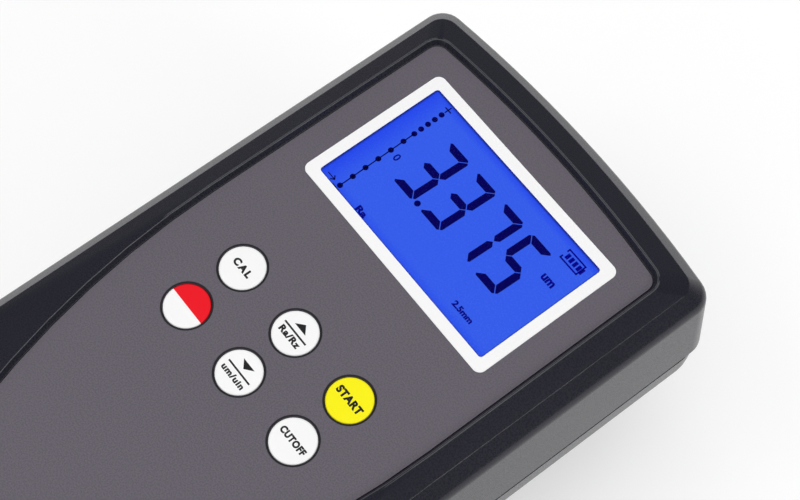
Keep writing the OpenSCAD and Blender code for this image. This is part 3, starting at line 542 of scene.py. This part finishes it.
def turned(name, colour, roughness, axis, pitch, depth=0.002 * MM):
    """Bright metal with the fine lines a tool leaves across an axis"""
    material, tree, shader = new_finish(name, colour, roughness, 1.0)
    stretch = [0.04, 0.04, 0.04]
    stretch[axis] = 1.0
    lines = noise(tree, place_of(tree, stretch=stretch), pitch, 3.0, 0.65)
    smudge = noise(tree, place_of(tree), 3 * MM, 2.0)
    shade = blend_colours(tree, smudge, tint(colour, 0.88), tint(colour, 1.06))
    link(tree, shade, shader.inputs["Base Color"])
    link(tree, spread(tree, lines, roughness * 0.75, roughness * 1.3), shader.inputs["Roughness"])
    relief(tree, shader, lines, depth)
    return material


def printed_panel(look):
    """Printed film: grey ground with fine light and dark flecks under a satin face"""
    material, tree, shader = new_finish("printed_panel", look.ground, 0.5)
    place = place_of(tree)
    flecks = noise(tree, place, look.fleck_size, 1.0, 0.5)
    broad = noise(tree, place, 25 * MM, 1.0)
    dark, light = tint(look.ground, 1 - look.fleck), tint(look.ground, 1 + look.fleck)
    speckled = blend_colours(tree, span(tree, flecks, 0.38, 0.62, 0, 1), dark, light)
    shade = blend_colours(tree, spread(tree, broad, 0.0, 0.10), speckled, tint(look.ground, 1.25))
    link(tree, shade, shader.inputs["Base Color"])
    link(tree, spread(tree, flecks, 0.46, 0.56), shader.inputs["Roughness"])
    shader.inputs["Specular IOR Level"].default_value = 0.35
    relief(tree, shader, flecks, 0.004 * MM)
    return material


def printed_ink(name, colour, gloss=0.5):
    """Flat printing ink, a little uneven"""
    material, tree, shader = new_finish(name, colour, 0.5)
    shader.inputs["Specular IOR Level"].default_value = gloss
    grain = noise(tree, place_of(tree), 0.12 * MM, 2.0)
    shade = blend_colours(tree, grain, tint(colour, 0.75), tint(colour, 1.25))
    link(tree, shade, shader.inputs["Base Color"])
    link(tree, spread(tree, grain, 0.42, 0.6), shader.inputs["Roughness"])
    return material


# Where painted shade deepens the lit display: axis, then start and stop as shares of its half, and
# strength at each
PAINTED_SHADE_EDGES = (("X", -0.96, -0.76, 1.0, 0.0), ("Y", 0.80, 0.94, 0.0, 1.0), ("Y", -0.94, -0.80, 0.7, 0.0))


def lit_display(look):
    """Display glass lit from behind, with painted shade towards three edges and a painted shadow along
    the border
    """
    material, tree, shader = new_finish("lit_display", tint(look.lit, 0.1), 0.25)
    low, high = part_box("lcd_panel")
    half = (high - low) / 2
    place = place_of(tree, centre=((low + high) / 2)[:], stretch=(1 / half.x, 1 / half.y, 1))
    axes = axes_of(tree, place)
    # Painted shade of the frame, darkening the display towards its left, top and bottom edges
    sides = [span(tree, axes[axis], *reach) for axis, *reach in PAINTED_SHADE_EDGES]
    edge = sides[0]
    for side in sides[1:]:
        edge = larger(tree, edge, side)
    lit = blend_colours(tree, edge, look.lit, look.edge)
    pane_low, pane_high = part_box("window_pane")
    view = (pane_high - pane_low) / 2
    # Painted shadow of the frame: a dark line along the printed border on all four sides
    for axis, reach in (("X", half.x), ("Y", half.y)):
        outer = (view["XY".index(axis)] - look.print_width) / reach
        border_shadow = span(tree, unsigned(tree, axes[axis]), outer - look.shadow / reach, outer, 0.0, 1.0)
        lit = blend_colours(tree, border_shadow, lit, tint(look.edge, 0.25))
    cells = noise(tree, place_of(tree), 0.3 * MM, 1.0)
    grained = blend_colours(tree, spread(tree, cells, 0.0, 0.03), lit, tint(look.lit, 1.3))
    link(tree, grained, shader.inputs["Emission Color"])
    shader.inputs["Emission Strength"].default_value = 1.0
    shader.inputs["Specular IOR Level"].default_value = 0.3
    link(tree, spread(tree, cells, 0.22, 0.3), shader.inputs["Roughness"])
    return material


def clear_window():
    """Clear lens, all but unseen, with faint wipe marks"""
    material, tree, shader = new_finish("clear_window", (0.01, 0.012, 0.02), 0.08)
    shader.inputs["Alpha"].default_value = 0.04
    wipe = noise(tree, place_of(tree, stretch=(0.15, 1, 1), turn=(0, 0, 0.5)), 1.5 * MM, 3.0)
    link(tree, span(tree, wipe, 0.45, 0.75, 0.06, 0.12), shader.inputs["Roughness"])
    return material


def key_plastic(name, colour):
    """Matt moulded cap"""
    material, tree, shader = moulded(name, colour, 0.4, 0.15 * MM, 0.002 * MM, 0.02)
    shader.inputs["Specular IOR Level"].default_value = 0.2
    return material, tree, shader


def two_tone_key(look):
    """Cap moulded in two colours that meet across its middle"""
    material, tree, shader = key_plastic("key_two_tone", look.white)
    low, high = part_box("power_key")
    place = place_of(tree, centre=((low + high) / 2)[:])
    upper = span(tree, axes_of(tree, place)["Y"], -0.02 * MM, 0.02 * MM, 0.0, 1.0)
    worn = noise(tree, place_of(tree), MOTTLE, 2.0)
    red = blend_colours(tree, worn, tint(look.red, 0.97), tint(look.red, 1.03))
    white = blend_colours(tree, worn, tint(look.white, 0.98), tint(look.white, 1.02))
    link(tree, blend_colours(tree, upper, white, red), shader.inputs["Base Color"])
    return material


def circuit_board():
    """Green lacquered board with runs of copper under the lacquer"""
    green = (0.012, 0.105, 0.045)
    material, tree, shader = new_finish("circuit_board", green, 0.35)
    runs = add_node(tree, "ShaderNodeTexBrick", offset=0.37, squash=0.6, Scale=1 / (9 * MM))
    runs.inputs["Mortar Size"].default_value = 0.035
    runs.inputs["Brick Width"].default_value = 0.85
    runs.inputs["Row Height"].default_value = 0.17
    link(tree, place_of(tree), runs.inputs["Vector"])
    shade = blend_colours(tree, runs.outputs["Fac"], green, tint(green, 2.2))
    link(tree, shade, shader.inputs["Base Color"])
    relief(tree, shader, runs.outputs["Fac"], 0.03 * MM)
    return material


# Print of a cell, from its middle: start of the gold bands, end of the sleeve and blur of an edge
BAND_FROM, SLEEVE_END, PRINT_BLUR = 12 * MM, 21.5 * MM, 0.1 * MM


def cell_sleeve():
    """Printed sleeve of a cell: a dark middle between gold bands, and bright ends"""
    material, tree, shader = new_finish("cell_sleeve", (0.02, 0.022, 0.03), 0.3)
    low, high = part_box("battery_cells")
    place = place_of(tree, centre=((low + high) / 2)[:])
    along = unsigned(tree, axes_of(tree, place)["Y"])
    band = span(tree, along, BAND_FROM, BAND_FROM + PRINT_BLUR, 0.0, 1.0)
    end = span(tree, along, SLEEVE_END, SLEEVE_END + PRINT_BLUR, 0.0, 1.0)
    print_grain = noise(tree, place_of(tree), 0.4 * MM, 2.0)
    dark = blend_colours(tree, print_grain, (0.016, 0.018, 0.024), (0.028, 0.030, 0.040))
    gold = blend_colours(tree, print_grain, (0.60, 0.36, 0.10), (0.70, 0.44, 0.14))
    sleeve = blend_colours(tree, band, dark, gold)
    link(tree, blend_colours(tree, end, sleeve, (0.62, 0.62, 0.62)), shader.inputs["Base Color"])
    link(tree, end, shader.inputs["Metallic"])
    return material


# Pieces


class TESTER_OT_case(Operator):
    """Ease the edges of the two case halves and the battery door and give them moulded plastic"""

    bl_idname = "tester.case"
    bl_label = "Case"

    def execute(self, context):
        look = context.scene.tester_case
        surface = (look.roughness, look.grain, look.grain_depth)
        plastic, _, shader = moulded("case_plastic", look.plastic, *surface)
        shader.inputs["IOR"].default_value = PLASTIC_IOR
        # Painted highlight along the upper half's rim edge and crease, above the bed
        edge_highlight, _, _ = moulded("rubbed_edge", look.edge_highlight, *surface)
        refined("front_shell", plastic, look.edge, SHELL_SHARP, edge_highlight, BED_Z + look.edge / 4)
        for node in ("rear_shell", "battery_door"):
            refined(node, plastic, look.edge)
        return {"FINISHED"}


class TESTER_OT_panel(Operator):
    """Print the front overlay and the dark rings around its key holes"""

    bl_idname = "tester.panel"
    bl_label = "Panel"

    def execute(self, context):
        look = context.scene.tester_panel
        refined("overlay", printed_panel(look), PANEL_EDGE)
        rings = []
        for key in KEYS:
            low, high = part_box(key + "_key")
            spot = (low + high) / 2
            ring = flat_disc(look.ring_outer, (spot.x, spot.y, PANEL_Z), RING_SIDES)
            edit(ring)
            bpy.ops.mesh.inset(thickness=look.ring_outer - look.ring_inner, depth=0)
            bpy.ops.mesh.delete(type="FACE")
            thicken(ring, look.ink)
            rings.append(ring)
        finish_piece(join(rings, "key_rings"), "key_rings", "case",
                     printed_ink("ring_ink", look.ring))
        return {"FINISHED"}


# Shift along an axis that opens a gap of one between two ends cut at 45 degrees
MITRE = 0.7


def digit_segments(w, h, t, gap, clip):
    """Corner points of the seven segments of a digit, lower left at the origin"""
    k = gap * MITRE
    mid = h / 2
    upper_left = [(0, h - clip), (0, mid + t / 2 + k), (t / 2, mid + k), (t, mid + t / 2 + k),
                  (t, h - t - k), ((clip - k) / 2, h - (clip + k) / 2)]
    inward, drop = (clip + k) / 2, (clip - k) / 2
    top = [(clip, h), (inward, h - drop), (t + k, h - t),
           (w - t - k, h - t), (w - inward, h - drop), (w - clip, h)]
    bar = [(t / 2 + k, mid), (t + k, mid - t / 2), (w - t - k, mid - t / 2), (w - t / 2 - k, mid),
           (w - t - k, mid + t / 2), (t + k, mid + t / 2)]

    def mirrored(points, across, up):
        turned_points = [(w - x if across else x, h - y if up else y) for x, y in points]
        return turned_points if across == up else turned_points[::-1]

    return {
        "a": top,
        "b": mirrored(upper_left, True, False),
        "c": mirrored(upper_left, True, True),
        "d": mirrored(top, False, True),
        "e": mirrored(upper_left, False, True),
        "f": upper_left,
        "g": bar,
    }


LIT_SEGMENTS = {
    "0": "abcdef", "1": "bc", "2": "abdeg", "3": "abcdg", "4": "bcfg",
    "5": "acdfg", "6": "acdefg", "7": "abc", "8": "abcdefg", "9": "abcdfg",
}
# Places and sizes on the display, in millimetres, places from its middle
DIGIT_LEFT, DIGIT_STEP, DIGIT_FOOT = -9.97, 5.6, -3.05
POINT_SPOT, POINT_RADIUS = (-5.07, -2.70), 0.44
# Scale: heights of its dots, their radius, its place and lean, its lines and the points of its pointer
SCALE_CLOSE = (7.8, 6.66, 5.52, 4.37, 3.23)
SCALE_WIDE = (1.43, -0.66, -2.74, -4.83, -6.91, -9.0)
SCALE_DOT, SCALE_LINE = 0.4, 0.17
SCALE_X, SCALE_LEAN = -13.33, -0.0107
CROSS_Y, CROSS_REACH = 8.9, 1.15
FOOT_SPOT, FOOT_LENGTH = (-13.42, -9.6), 1.37
SHAFT_SPOT, SHAFT_LENGTH, SHAFT_LINE = (-15.03, -9.03), 1.4, 0.13
BARB_SPOT = (-14.23, -9.03)
BARB = ((0, 0), (-0.5, 0.45), (-0.62, 0.33), (-0.25, 0), (-0.62, -0.33), (-0.5, -0.45))
# Cell mark: left, foot, right and top of its outline, its line and hooks, its nub and its bars
CELL_MARK = (11.93, 6.99, 15.02, 8.61)
CELL_LINE, CELL_HOOK = 0.22, 0.45
CELL_NUB, NUB_OUT = (0.35, 0.95), 0.22
CELL_BARS, CELL_BAR, BAR_IN, BAR_STEP = 4, (0.5, 0.86), 0.58, 0.7
# Words: text, height, length, place and thickening
DISPLAY_WORDS = (
    ("0", 1.13, 0.74, (-11.97, -0.7), 0.02),
    ("Ra", 1.0, 1.8, (-8.5, -9.1), 0.045),
    ("um", 0.93, 2.1, (13.55, 3.6), 0.045),
    ("2.5mm", 0.9, 3.6, (10.37, -7.53), 0.045),
)


class TESTER_OT_display(Operator):
    """Light the display and lay its digits, scale and marks on the glass under the clear window"""

    bl_idname = "tester.display"
    bl_label = "Display"

    def on_glass(self, x, y):
        """Point on the glass, in millimetres from the display's middle"""
        return (DISPLAY_MID.x + x * MM, DISPLAY_MID.y + y * MM, GLASS_Z)

    def plate(self, width, height, x, y):
        """Flat bar on the glass, in millimetres"""
        return flat_plate(width * MM, height * MM, self.on_glass(x, y))

    def reading(self, look):
        """Digits made of their lit segments, and the point"""
        shapes = digit_segments(look.digit_width, look.digit_height, look.stroke, look.split, look.clip)
        slant = Matrix.Identity(4)
        slant[0][1] = math.tan(look.slant)
        bars = []
        digits = [c for c in look.reading if c in LIT_SEGMENTS]
        for i, digit in enumerate(digits):
            for segment in LIT_SEGMENTS[digit]:
                bar = flat_shape(shapes[segment])
                bar.data.transform(slant)
                bar.location = self.on_glass(DIGIT_LEFT + i * DIGIT_STEP, DIGIT_FOOT)
                settle(bar)
                bars.append(bar)
        bars.append(flat_disc(POINT_RADIUS * MM, self.on_glass(*POINT_SPOT), POINT_SIDES))
        return join(bars, "reading")

    def probe_scale(self):
        """Leaning column of dots on a rule, a cross at its head, a foot and a pointer"""
        def scale_x(y):
            return SCALE_X + SCALE_LEAN * y

        heights = SCALE_CLOSE + SCALE_WIDE
        parts = [flat_disc(SCALE_DOT * MM, self.on_glass(scale_x(y), y), DOT_SIDES) for y in heights]
        head, foot = SCALE_CLOSE[-1], SCALE_WIDE[-1]
        middle = (head + foot) / 2
        rule = flat_plate(SCALE_LINE * MM, (head - foot) * MM, (0, 0, 0))
        rule.rotation_euler.z = -math.atan(SCALE_LEAN)
        rule.location = self.on_glass(scale_x(middle), middle)
        settle(rule)
        pointer = flat_shape([(x * MM, y * MM) for x, y in BARB])
        pointer.location = self.on_glass(*BARB_SPOT)
        settle(pointer)
        parts += [
            rule,
            self.plate(CROSS_REACH, SCALE_LINE, scale_x(CROSS_Y), CROSS_Y),
            self.plate(SCALE_LINE, CROSS_REACH, scale_x(CROSS_Y), CROSS_Y),
            self.plate(FOOT_LENGTH, SCALE_LINE, *FOOT_SPOT),
            self.plate(SHAFT_LENGTH, SHAFT_LINE, *SHAFT_SPOT),
            pointer,
        ]
        return join(parts, "probe_scale")

    def cell_mark(self):
        """Outline of a cell, open at its left end, with bars of charge"""
        left, foot, right, top = CELL_MARK
        middle = (foot + top) / 2
        parts = []
        for y, inward in ((foot, 1), (top, -1)):
            parts.append(self.plate(right - left + CELL_LINE, CELL_LINE, (left + right) / 2, y))
            parts.append(self.plate(CELL_LINE, CELL_HOOK, left, y + inward * CELL_HOOK / 2))
        parts.append(self.plate(CELL_LINE, top - foot, right, middle))
        parts.append(self.plate(*CELL_NUB, right + NUB_OUT, middle))
        for i in range(CELL_BARS):
            parts.append(self.plate(*CELL_BAR, left + BAR_IN + BAR_STEP * i, middle))
        return join(parts, "cell_mark")

    def words(self):
        """Words of the display"""
        return join([
            lettering(word, tall * MM, wide * MM, self.on_glass(*spot), weight)
            for word, tall, wide, spot, weight in DISPLAY_WORDS
        ], "display_words")

    def window_print(self, look, border):
        """White border printed on the edge of the lens and lapping over the joint to the frame"""
        low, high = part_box("window_pane")
        size = high - low
        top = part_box("window_frame")[1].z
        edges = []
        for reach in (look.print_lap, -look.print_width):
            corners = round_corners(size.x / 2 + reach, size.y / 2 + reach, look.print_corner)
            edges.append(flat_shape(corners))
        ring = join(edges, "window_print")
        ring.location = (DISPLAY_MID.x, DISPLAY_MID.y, high.z)
        edit(ring)
        bpy.ops.mesh.delete(type="ONLY_FACE")
        bpy.ops.mesh.select_all(action="SELECT")
        bpy.ops.mesh.bridge_edge_loops()
        bpy.ops.mesh.flip_normals()
        thicken(ring, top + look.film / 4 - high.z)
        finish_piece(ring, "window_print", "case", border)

    def execute(self, context):
        look = context.scene.tester_display
        border, _, _ = moulded("window_border", look.border, 0.38, 0.2 * MM, 0.003 * MM, 0.02)
        refined("window_frame", border, FRAME_EDGE)
        lens = refined("window_pane", clear_window(), LENS_EDGE)
        draw_in(lens, LENS_GAP)
        self.window_print(look, border)
        dress(lit_display(look), "lcd_panel")
        mark = printed_ink("switched_segment", look.mark, 0.0)
        fine = printed_ink("switched_mark", look.fine, 0.0)
        inked = (
            (self.reading(look), mark),
            (self.probe_scale(), mark),
            (self.cell_mark(), fine),
            (self.words(), fine),
        )
        for marks, ink in inked:
            thicken(marks, look.film)
            finish_piece(marks, marks.name, "case", ink)
        return {"FINISHED"}


# Legends in millimetres: text, height, length and spacing, centred on the cap
KEY_WORDS = {
    "cal": ("CAL", 1.06, 3.2, 1.35),
    "start": ("START", 1.12, 4.5, 1.1),
    "cutoff": ("CUTOFF", 0.98, 4.53, 1.1),
}
# Arrow and text: the arrow's rise, base, height and place, then the text, its height, length and place
KEY_ARROWS = {
    "up": (1, 2.15, 0.94, 1.2, "Ra/Rz", 0.95, 3.7, -0.87),
    "down": (-1, 2.2, 0.91, 1.1, "um/uin", 0.88, 4.1, -0.92),
}
KEY_RULE, ARROW_SPACING = (4.26, 0.24), 1.15


class TESTER_OT_keys(Operator):
    """Colour the six key caps and print their legends"""

    bl_idname = "tester.keys"
    bl_label = "Keys"

    def legend(self, key, look):
        """Flat marks of one key"""
        low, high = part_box(key + "_key")
        spot = (low + high) / 2

        def on_cap(x, y):
            return (spot.x + x * MM, spot.y + y * MM, high.z)

        if key in KEY_WORDS:
            word, tall, wide, spacing = KEY_WORDS[key]
            return [lettering(word, tall * MM, wide * MM, on_cap(0, 0), look.legend_weight, spacing)]
        rise, base, peak, lift, word, tall, wide, foot = KEY_ARROWS[key]
        corners = [(-base / 2, -peak / 2 * rise), (base / 2, -peak / 2 * rise), (0, peak / 2 * rise)]
        arrow = flat_shape([(x * MM, y * MM) for x, y in corners[::rise]])
        arrow.location = on_cap(0, lift)
        settle(arrow)
        rule = flat_plate(KEY_RULE[0] * MM, KEY_RULE[1] * MM, on_cap(0, 0))
        text = lettering(word, tall * MM, wide * MM, on_cap(0, foot), look.small_weight, ARROW_SPACING)
        return [arrow, rule, text]

    def execute(self, context):
        look = context.scene.tester_keys
        ink = context.scene.tester_panel.ink
        white, _, _ = key_plastic("key_white", look.white)
        yellow, _, _ = key_plastic("key_yellow", look.yellow)
        caps = {"cal": white, "up": white, "down": white, "start": yellow, "cutoff": white,
                "power": two_tone_key(look)}
        letters = printed_ink("legend_ink", look.legend)
        for key, colour in caps.items():
            dress(colour, key + "_key")
            if key == "power":
                continue
            marks = join(self.legend(key, look), key + "_legend")
            thicken(marks, ink)
            finish_piece(marks, key + "_legend", key + "_key_body", letters)
        return {"FINISHED"}


class TESTER_OT_inside(Operator):
    """Finish the circuit board, the parts on it, the display's backing and the cells"""

    bl_idname = "tester.inside"
    bl_label = "Board and cells"

    def execute(self, context):
        steel = context.scene.tester_drive.steel
        guide, _, shader = moulded("light_guide", (0.86, 0.88, 0.90), 0.35, 0.3 * MM, 0.002 * MM, 0.03)
        shader.inputs["Transmission Weight"].default_value = 0.25
        rubber, _, _ = moulded("connector_rubber", (0.42, 0.20, 0.22), 0.7, 0.1 * MM, 0.006 * MM)
        chip, _, _ = moulded("chip_body", (0.012, 0.012, 0.013), 0.55, 0.12 * MM, 0.006 * MM)
        dress(guide, "backlight")
        dress(rubber, "zebra_strips")
        dress(chip, "processor_chip")
        dress(circuit_board(), "main_board")
        dress(cell_sleeve(), "battery_cells")
        nickel = turned("nickel_plate", steel, 0.28, 0, 0.4 * MM)
        screws = turned("screw_steel", tint(steel, 0.8), 0.32, 2, 0.2 * MM)
        dress(nickel, "key_switches", "cell_springs", "cell_plates")
        dress(screws, "board_screws", "case_screws", "chassis_screws")
        return {"FINISHED"}


# Lead screw: sides, cuts along it in two passes, plain ends, width and slope of the thread and the
# angle in degrees of its sharp edges
ROD_SIDES, ROD_CUTS = 32, (3, 100)
PLAIN_START, PLAIN_END = 1.5 * MM, 4 * MM
GROOVE, FLANK = 1.6, 4.2
THREAD_SHARP = 40


class TESTER_OT_drive(Operator):
    """Cut the thread of the lead screw and finish the traverse drive"""

    bl_idname = "tester.drive"
    bl_label = "Drive"

    def lead_screw(self, look):
        """Threaded rod that stands for the plain one: its ends stay plain where the bushes hold it"""
        low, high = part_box("lead_screw")
        middle = (low + high) / 2
        radius = (high.x - low.x) / 2
        run = (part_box("screw_gear")[1].y + PLAIN_START, high.y - PLAIN_END)
        rest()
        bpy.ops.mesh.primitive_cylinder_add(
            vertices=ROD_SIDES, radius=radius, depth=high.y - low.y, end_fill_type="TRIFAN",
            location=middle, rotation=(math.pi / 2, 0, 0))
        rod = bpy.context.object
        settle(rod)
        edit(rod)
        bpy.ops.mesh.select_mode(type="EDGE")
        for cuts in ROD_CUTS:
            bpy.ops.mesh.select_all(action="DESELECT")
            bpy.ops.object.mode_set(mode="OBJECT")
            points = rod.data.vertices
            for line in rod.data.edges:
                first, second = (points[i].co for i in line.vertices)
                line.select = abs(first.y - second.y) > MM
            bpy.ops.object.mode_set(mode="EDIT")
            bpy.ops.mesh.subdivide(number_cuts=cuts)
        bpy.ops.mesh.select_mode(type="VERT")
        bpy.ops.object.mode_set(mode="OBJECT")
        for point in rod.data.vertices:
            x, z = point.co.x - middle.x, point.co.z - middle.z
            reach = math.hypot(x, z)
            if reach < radius / 2 or not run[0] < point.co.y < run[1]:
                continue
            turn = (point.co.y / look.pitch + math.atan2(x, z) / (2 * math.pi)) % 1.0
            cut = min(1.0, max(0.0, GROOVE - FLANK * abs(turn - 0.5)))
            fade = min(1.0, (point.co.y - run[0]) / MM, (run[1] - point.co.y) / MM)
            share = (radius - look.thread * cut * fade) / reach
            point.co.x, point.co.z = middle.x + x * share, middle.z + z * share
        hold(rod)
        bpy.ops.object.shade_smooth_by_angle(angle=math.radians(THREAD_SHARP))
        return rod

    def execute(self, context):
        look = context.scene.tester_drive
        ground = turned("ground_steel", look.steel, 0.16, 1, 0.15 * MM, 0.001 * MM)
        can = turned("motor_can", tint(look.steel, 0.9), 0.3, 1, 0.3 * MM)
        sheet = turned("folded_sheet", look.alloy, 0.36, 0, 0.2 * MM, 0.003 * MM)
        brass = turned("turned_brass", look.brass, 0.22, 1, 0.15 * MM)
        nylon, _, shader = moulded("moulded_nylon", look.nylon, 0.45, 0.3 * MM, 0.006 * MM, 0.04)
        shader.inputs["Subsurface Weight"].default_value = 0.15
        shader.inputs["Subsurface Radius"].default_value = (0.6 * MM, 0.5 * MM, 0.4 * MM)
        dress(ground, "guide_rods", "motor_screws")
        dress(can, "drive_motor")
        dress(sheet, "drive_chassis")
        dress(brass, "motor_pinion", "screw_bushes")
        dress(nylon, "screw_gear", "lead_nut")
        screw = self.lead_screw(look)
        finish_piece(screw, "lead_screw_threaded", "screw", ground)
        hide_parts("lead_screw")
        return {"FINISHED"}


class TESTER_OT_pickup(Operator):
    """Finish the carriage, the pickup tube, its skid and the stylus"""

    bl_idname = "tester.pickup"
    bl_label = "Pickup"

    def execute(self, context):
        look = context.scene.tester_drive
        tube = turned("pickup_steel", look.steel, 0.2, 1, 0.2 * MM)
        block = turned("carriage_alloy", look.alloy, 0.34, 0, 0.2 * MM, 0.003 * MM)
        skid, _, _ = moulded("skid_black", (0.014, 0.014, 0.016), 0.32, 0.12 * MM, 0.003 * MM)
        gem, tree, shader = new_finish("stylus_gem", (0.85, 0.87, 0.9), 0.06)
        shader.inputs["IOR"].default_value = 2.4
        shade = noise(tree, place_of(tree), 0.2 * MM, 2.0)
        clear = blend_colours(tree, shade, (0.75, 0.78, 0.82), (0.9, 0.92, 0.95))
        link(tree, clear, shader.inputs["Base Color"])
        dress(tube, "pickup_tube", "stylus_pin", "stylus_arm")
        dress(block, "carriage")
        dress(turned("bush_brass", look.brass, 0.24, 1, 0.15 * MM), "pickup_bush")
        refined("pickup_nose", skid, NOSE_EDGE)
        dress(gem, "stylus_tip")
        return {"FINISHED"}


# Camera: right, up and back directions and place, solved from the photograph, and nearest view
CAMERA_RIGHT = (0.61016, 0.79225, 0.00017)
CAMERA_UP = (-0.71603, 0.55137, 0.42808)
CAMERA_BACK = (0.33907, -0.26132, 0.90372)
CAMERA_SPOT = (0.07946, -0.02297, 0.26190)
CAMERA_NEAR = 0.01
# Softboxes: place, width, height and whether gloss mirrors them
SOFTBOXES = (
    ("key_light", (0.05, 0.05, 0.94), 0.60, 0.60, False),
    ("fill_light", (-0.30, -0.40, 0.80), 0.40, 0.40, True),
    ("tail_light", (0.15, -0.80, 0.50), 0.50, 0.50, True),
    ("strip_light", (0.738, 0.198, 0.51), 0.35, 0.10, True),
)
LIGHT_TARGET = Vector((0, 0, 0.03))
FLOOR_SIZE = 8
# Surroundings in reflections: their pale side, and the span over which their strength grows
PALE_SIDE = (-0.77, 0.64, 0)
MIRRORED = (-0.3, 0.9, 0.12, 0.32)


class TESTER_OT_stage(Operator):
    """Pale floor, soft studio light, white surroundings and the camera"""

    bl_idname = "tester.stage"
    bl_label = "Stage"

    def seen(self, tree):
        """1 where the camera sees the surface, itself, mirrored or through glass"""
        path = add_node(tree, "ShaderNodeLightPath")
        value = path.outputs["Is Camera Ray"]
        for ray in ("Is Glossy Ray", "Is Transmission Ray"):
            value = larger(tree, value, path.outputs[ray])
        return value

    def floor(self, look):
        """Matt floor that takes the shadow, lifted towards white in view"""
        rest()
        bpy.ops.mesh.primitive_plane_add(size=FLOOR_SIZE, location=(0, 0, 0))
        floor = bpy.context.object
        floor.name = "floor"
        material, tree, shader = new_finish("pale_floor", look.floor, 0.9)
        shader.inputs["Specular IOR Level"].default_value = 0.0
        output = tree.nodes["Material Output"]
        glow = add_node(tree, "ShaderNodeEmission", Strength=look.lift)
        both = add_node(tree, "ShaderNodeAddShader")
        pick = add_node(tree, "ShaderNodeMixShader")
        link(tree, shader.outputs["BSDF"], both.inputs[0])
        link(tree, glow.outputs["Emission"], both.inputs[1])
        link(tree, self.seen(tree), pick.inputs["Fac"])
        link(tree, shader.outputs["BSDF"], pick.inputs[1])
        link(tree, both.outputs["Shader"], pick.inputs[2])
        link(tree, pick.outputs["Shader"], output.inputs["Surface"])
        clad(floor, material)

    def surroundings(self, look):
        """White as it is seen, soft as light, and in reflections pale behind and dark on the right"""
        world = bpy.data.worlds.new("studio")
        bpy.context.scene.world = world
        world.use_nodes = True
        tree = world.node_tree
        light = tree.nodes["Background"]
        light.inputs["Color"].default_value = (1, 1, 1, 1)
        light.inputs["Strength"].default_value = look.sky
        white = add_node(tree, "ShaderNodeBackground", Strength=1.0)
        white.inputs["Color"].default_value = (1, 1, 1, 1)
        path = add_node(tree, "ShaderNodeLightPath")
        pick = add_node(tree, "ShaderNodeMixShader")
        seen = larger(tree, path.outputs["Is Camera Ray"], path.outputs["Is Transmission Ray"])
        where = add_node(tree, "ShaderNodeTexCoord")
        towards = add_node(tree, "ShaderNodeVectorMath", operation="DOT_PRODUCT")
        link(tree, where.outputs["Generated"], towards.inputs[0])
        towards.inputs[1].default_value = PALE_SIDE
        mirrored = add_node(tree, "ShaderNodeBackground")
        link(tree, span(tree, towards.outputs["Value"], *MIRRORED), mirrored.inputs["Strength"])
        gloss = add_node(tree, "ShaderNodeMixShader")
        link(tree, path.outputs["Is Glossy Ray"], gloss.inputs["Fac"])
        link(tree, light.outputs["Background"], gloss.inputs[1])
        link(tree, mirrored.outputs["Background"], gloss.inputs[2])
        link(tree, seen, pick.inputs["Fac"])
        link(tree, gloss.outputs["Shader"], pick.inputs[1])
        link(tree, white.outputs["Background"], pick.inputs[2])
        link(tree, pick.outputs["Shader"], tree.nodes["World Output"].inputs["Surface"])

    def lights(self, look):
        """Softboxes turned to the tester"""
        for name, spot, width, height, mirrored in SOFTBOXES:
            bpy.ops.object.light_add(type="AREA", location=spot)
            lamp = bpy.context.object
            lamp.name = name
            lamp.data.energy = getattr(look, name)
            lamp.data.shape = "RECTANGLE"
            lamp.data.size = width
            lamp.data.size_y = height
            lamp.visible_glossy = mirrored
            lamp.rotation_euler = (LIGHT_TARGET - Vector(spot)).to_track_quat("-Z", "Y").to_euler()

    def camera(self, look):
        """Camera at the photograph's place"""
        bpy.ops.object.camera_add()
        camera = bpy.context.object
        axes = Matrix((CAMERA_RIGHT, CAMERA_UP, CAMERA_BACK)).transposed()
        camera.matrix_world = Matrix.Translation(CAMERA_SPOT) @ axes.to_4x4()
        camera.data.lens = look.lens
        camera.data.clip_start = CAMERA_NEAR
        bpy.context.scene.camera = camera

    def execute(self, context):
        look = context.scene.tester_stage
        rest()
        self.floor(look)
        self.surroundings(look)
        self.lights(look)
        self.camera(look)
        context.scene.view_settings.view_transform = "Standard"
        return {"FINISHED"}


OPERATORS = (
    TESTER_OT_case, TESTER_OT_panel, TESTER_OT_display, TESTER_OT_keys,
    TESTER_OT_inside, TESTER_OT_drive, TESTER_OT_pickup, TESTER_OT_stage,
)


class TESTER_PT_sidebar(Panel):
    """Sizes, colours and steps of the tester"""

    bl_label = "Roughness tester"
    bl_space_type = "VIEW_3D"
    bl_region_type = "UI"
    bl_category = "Tester"

    def draw(self, context):
        for name, group in LOOKS.items():
            box = self.layout.box()
            box.label(text=group.__doc__)
            for prop in group.__annotations__:
                box.prop(getattr(context.scene, name), prop)
        for step in OPERATORS:
            self.layout.operator(step.bl_idname)


def register():
    for group in LOOKS.values():
        bpy.utils.register_class(group)
    for name, group in LOOKS.items():
        setattr(bpy.types.Scene, name, PointerProperty(type=group))
    for made in (*OPERATORS, TESTER_PT_sidebar):
        bpy.utils.register_class(made)


def unregister():
    for made in (TESTER_PT_sidebar, *reversed(OPERATORS)):
        bpy.utils.unregister_class(made)
    for name in LOOKS:
        delattr(bpy.types.Scene, name)
    for group in reversed(LOOKS.values()):
        bpy.utils.unregister_class(group)


def main():
    register()
    bpy.ops.tester.case()
    bpy.ops.tester.panel()
    bpy.ops.tester.display()
    bpy.ops.tester.keys()
    bpy.ops.tester.inside()
    bpy.ops.tester.drive()
    bpy.ops.tester.pickup()
    bpy.ops.tester.stage()


if __name__ == "__main__":
    main()
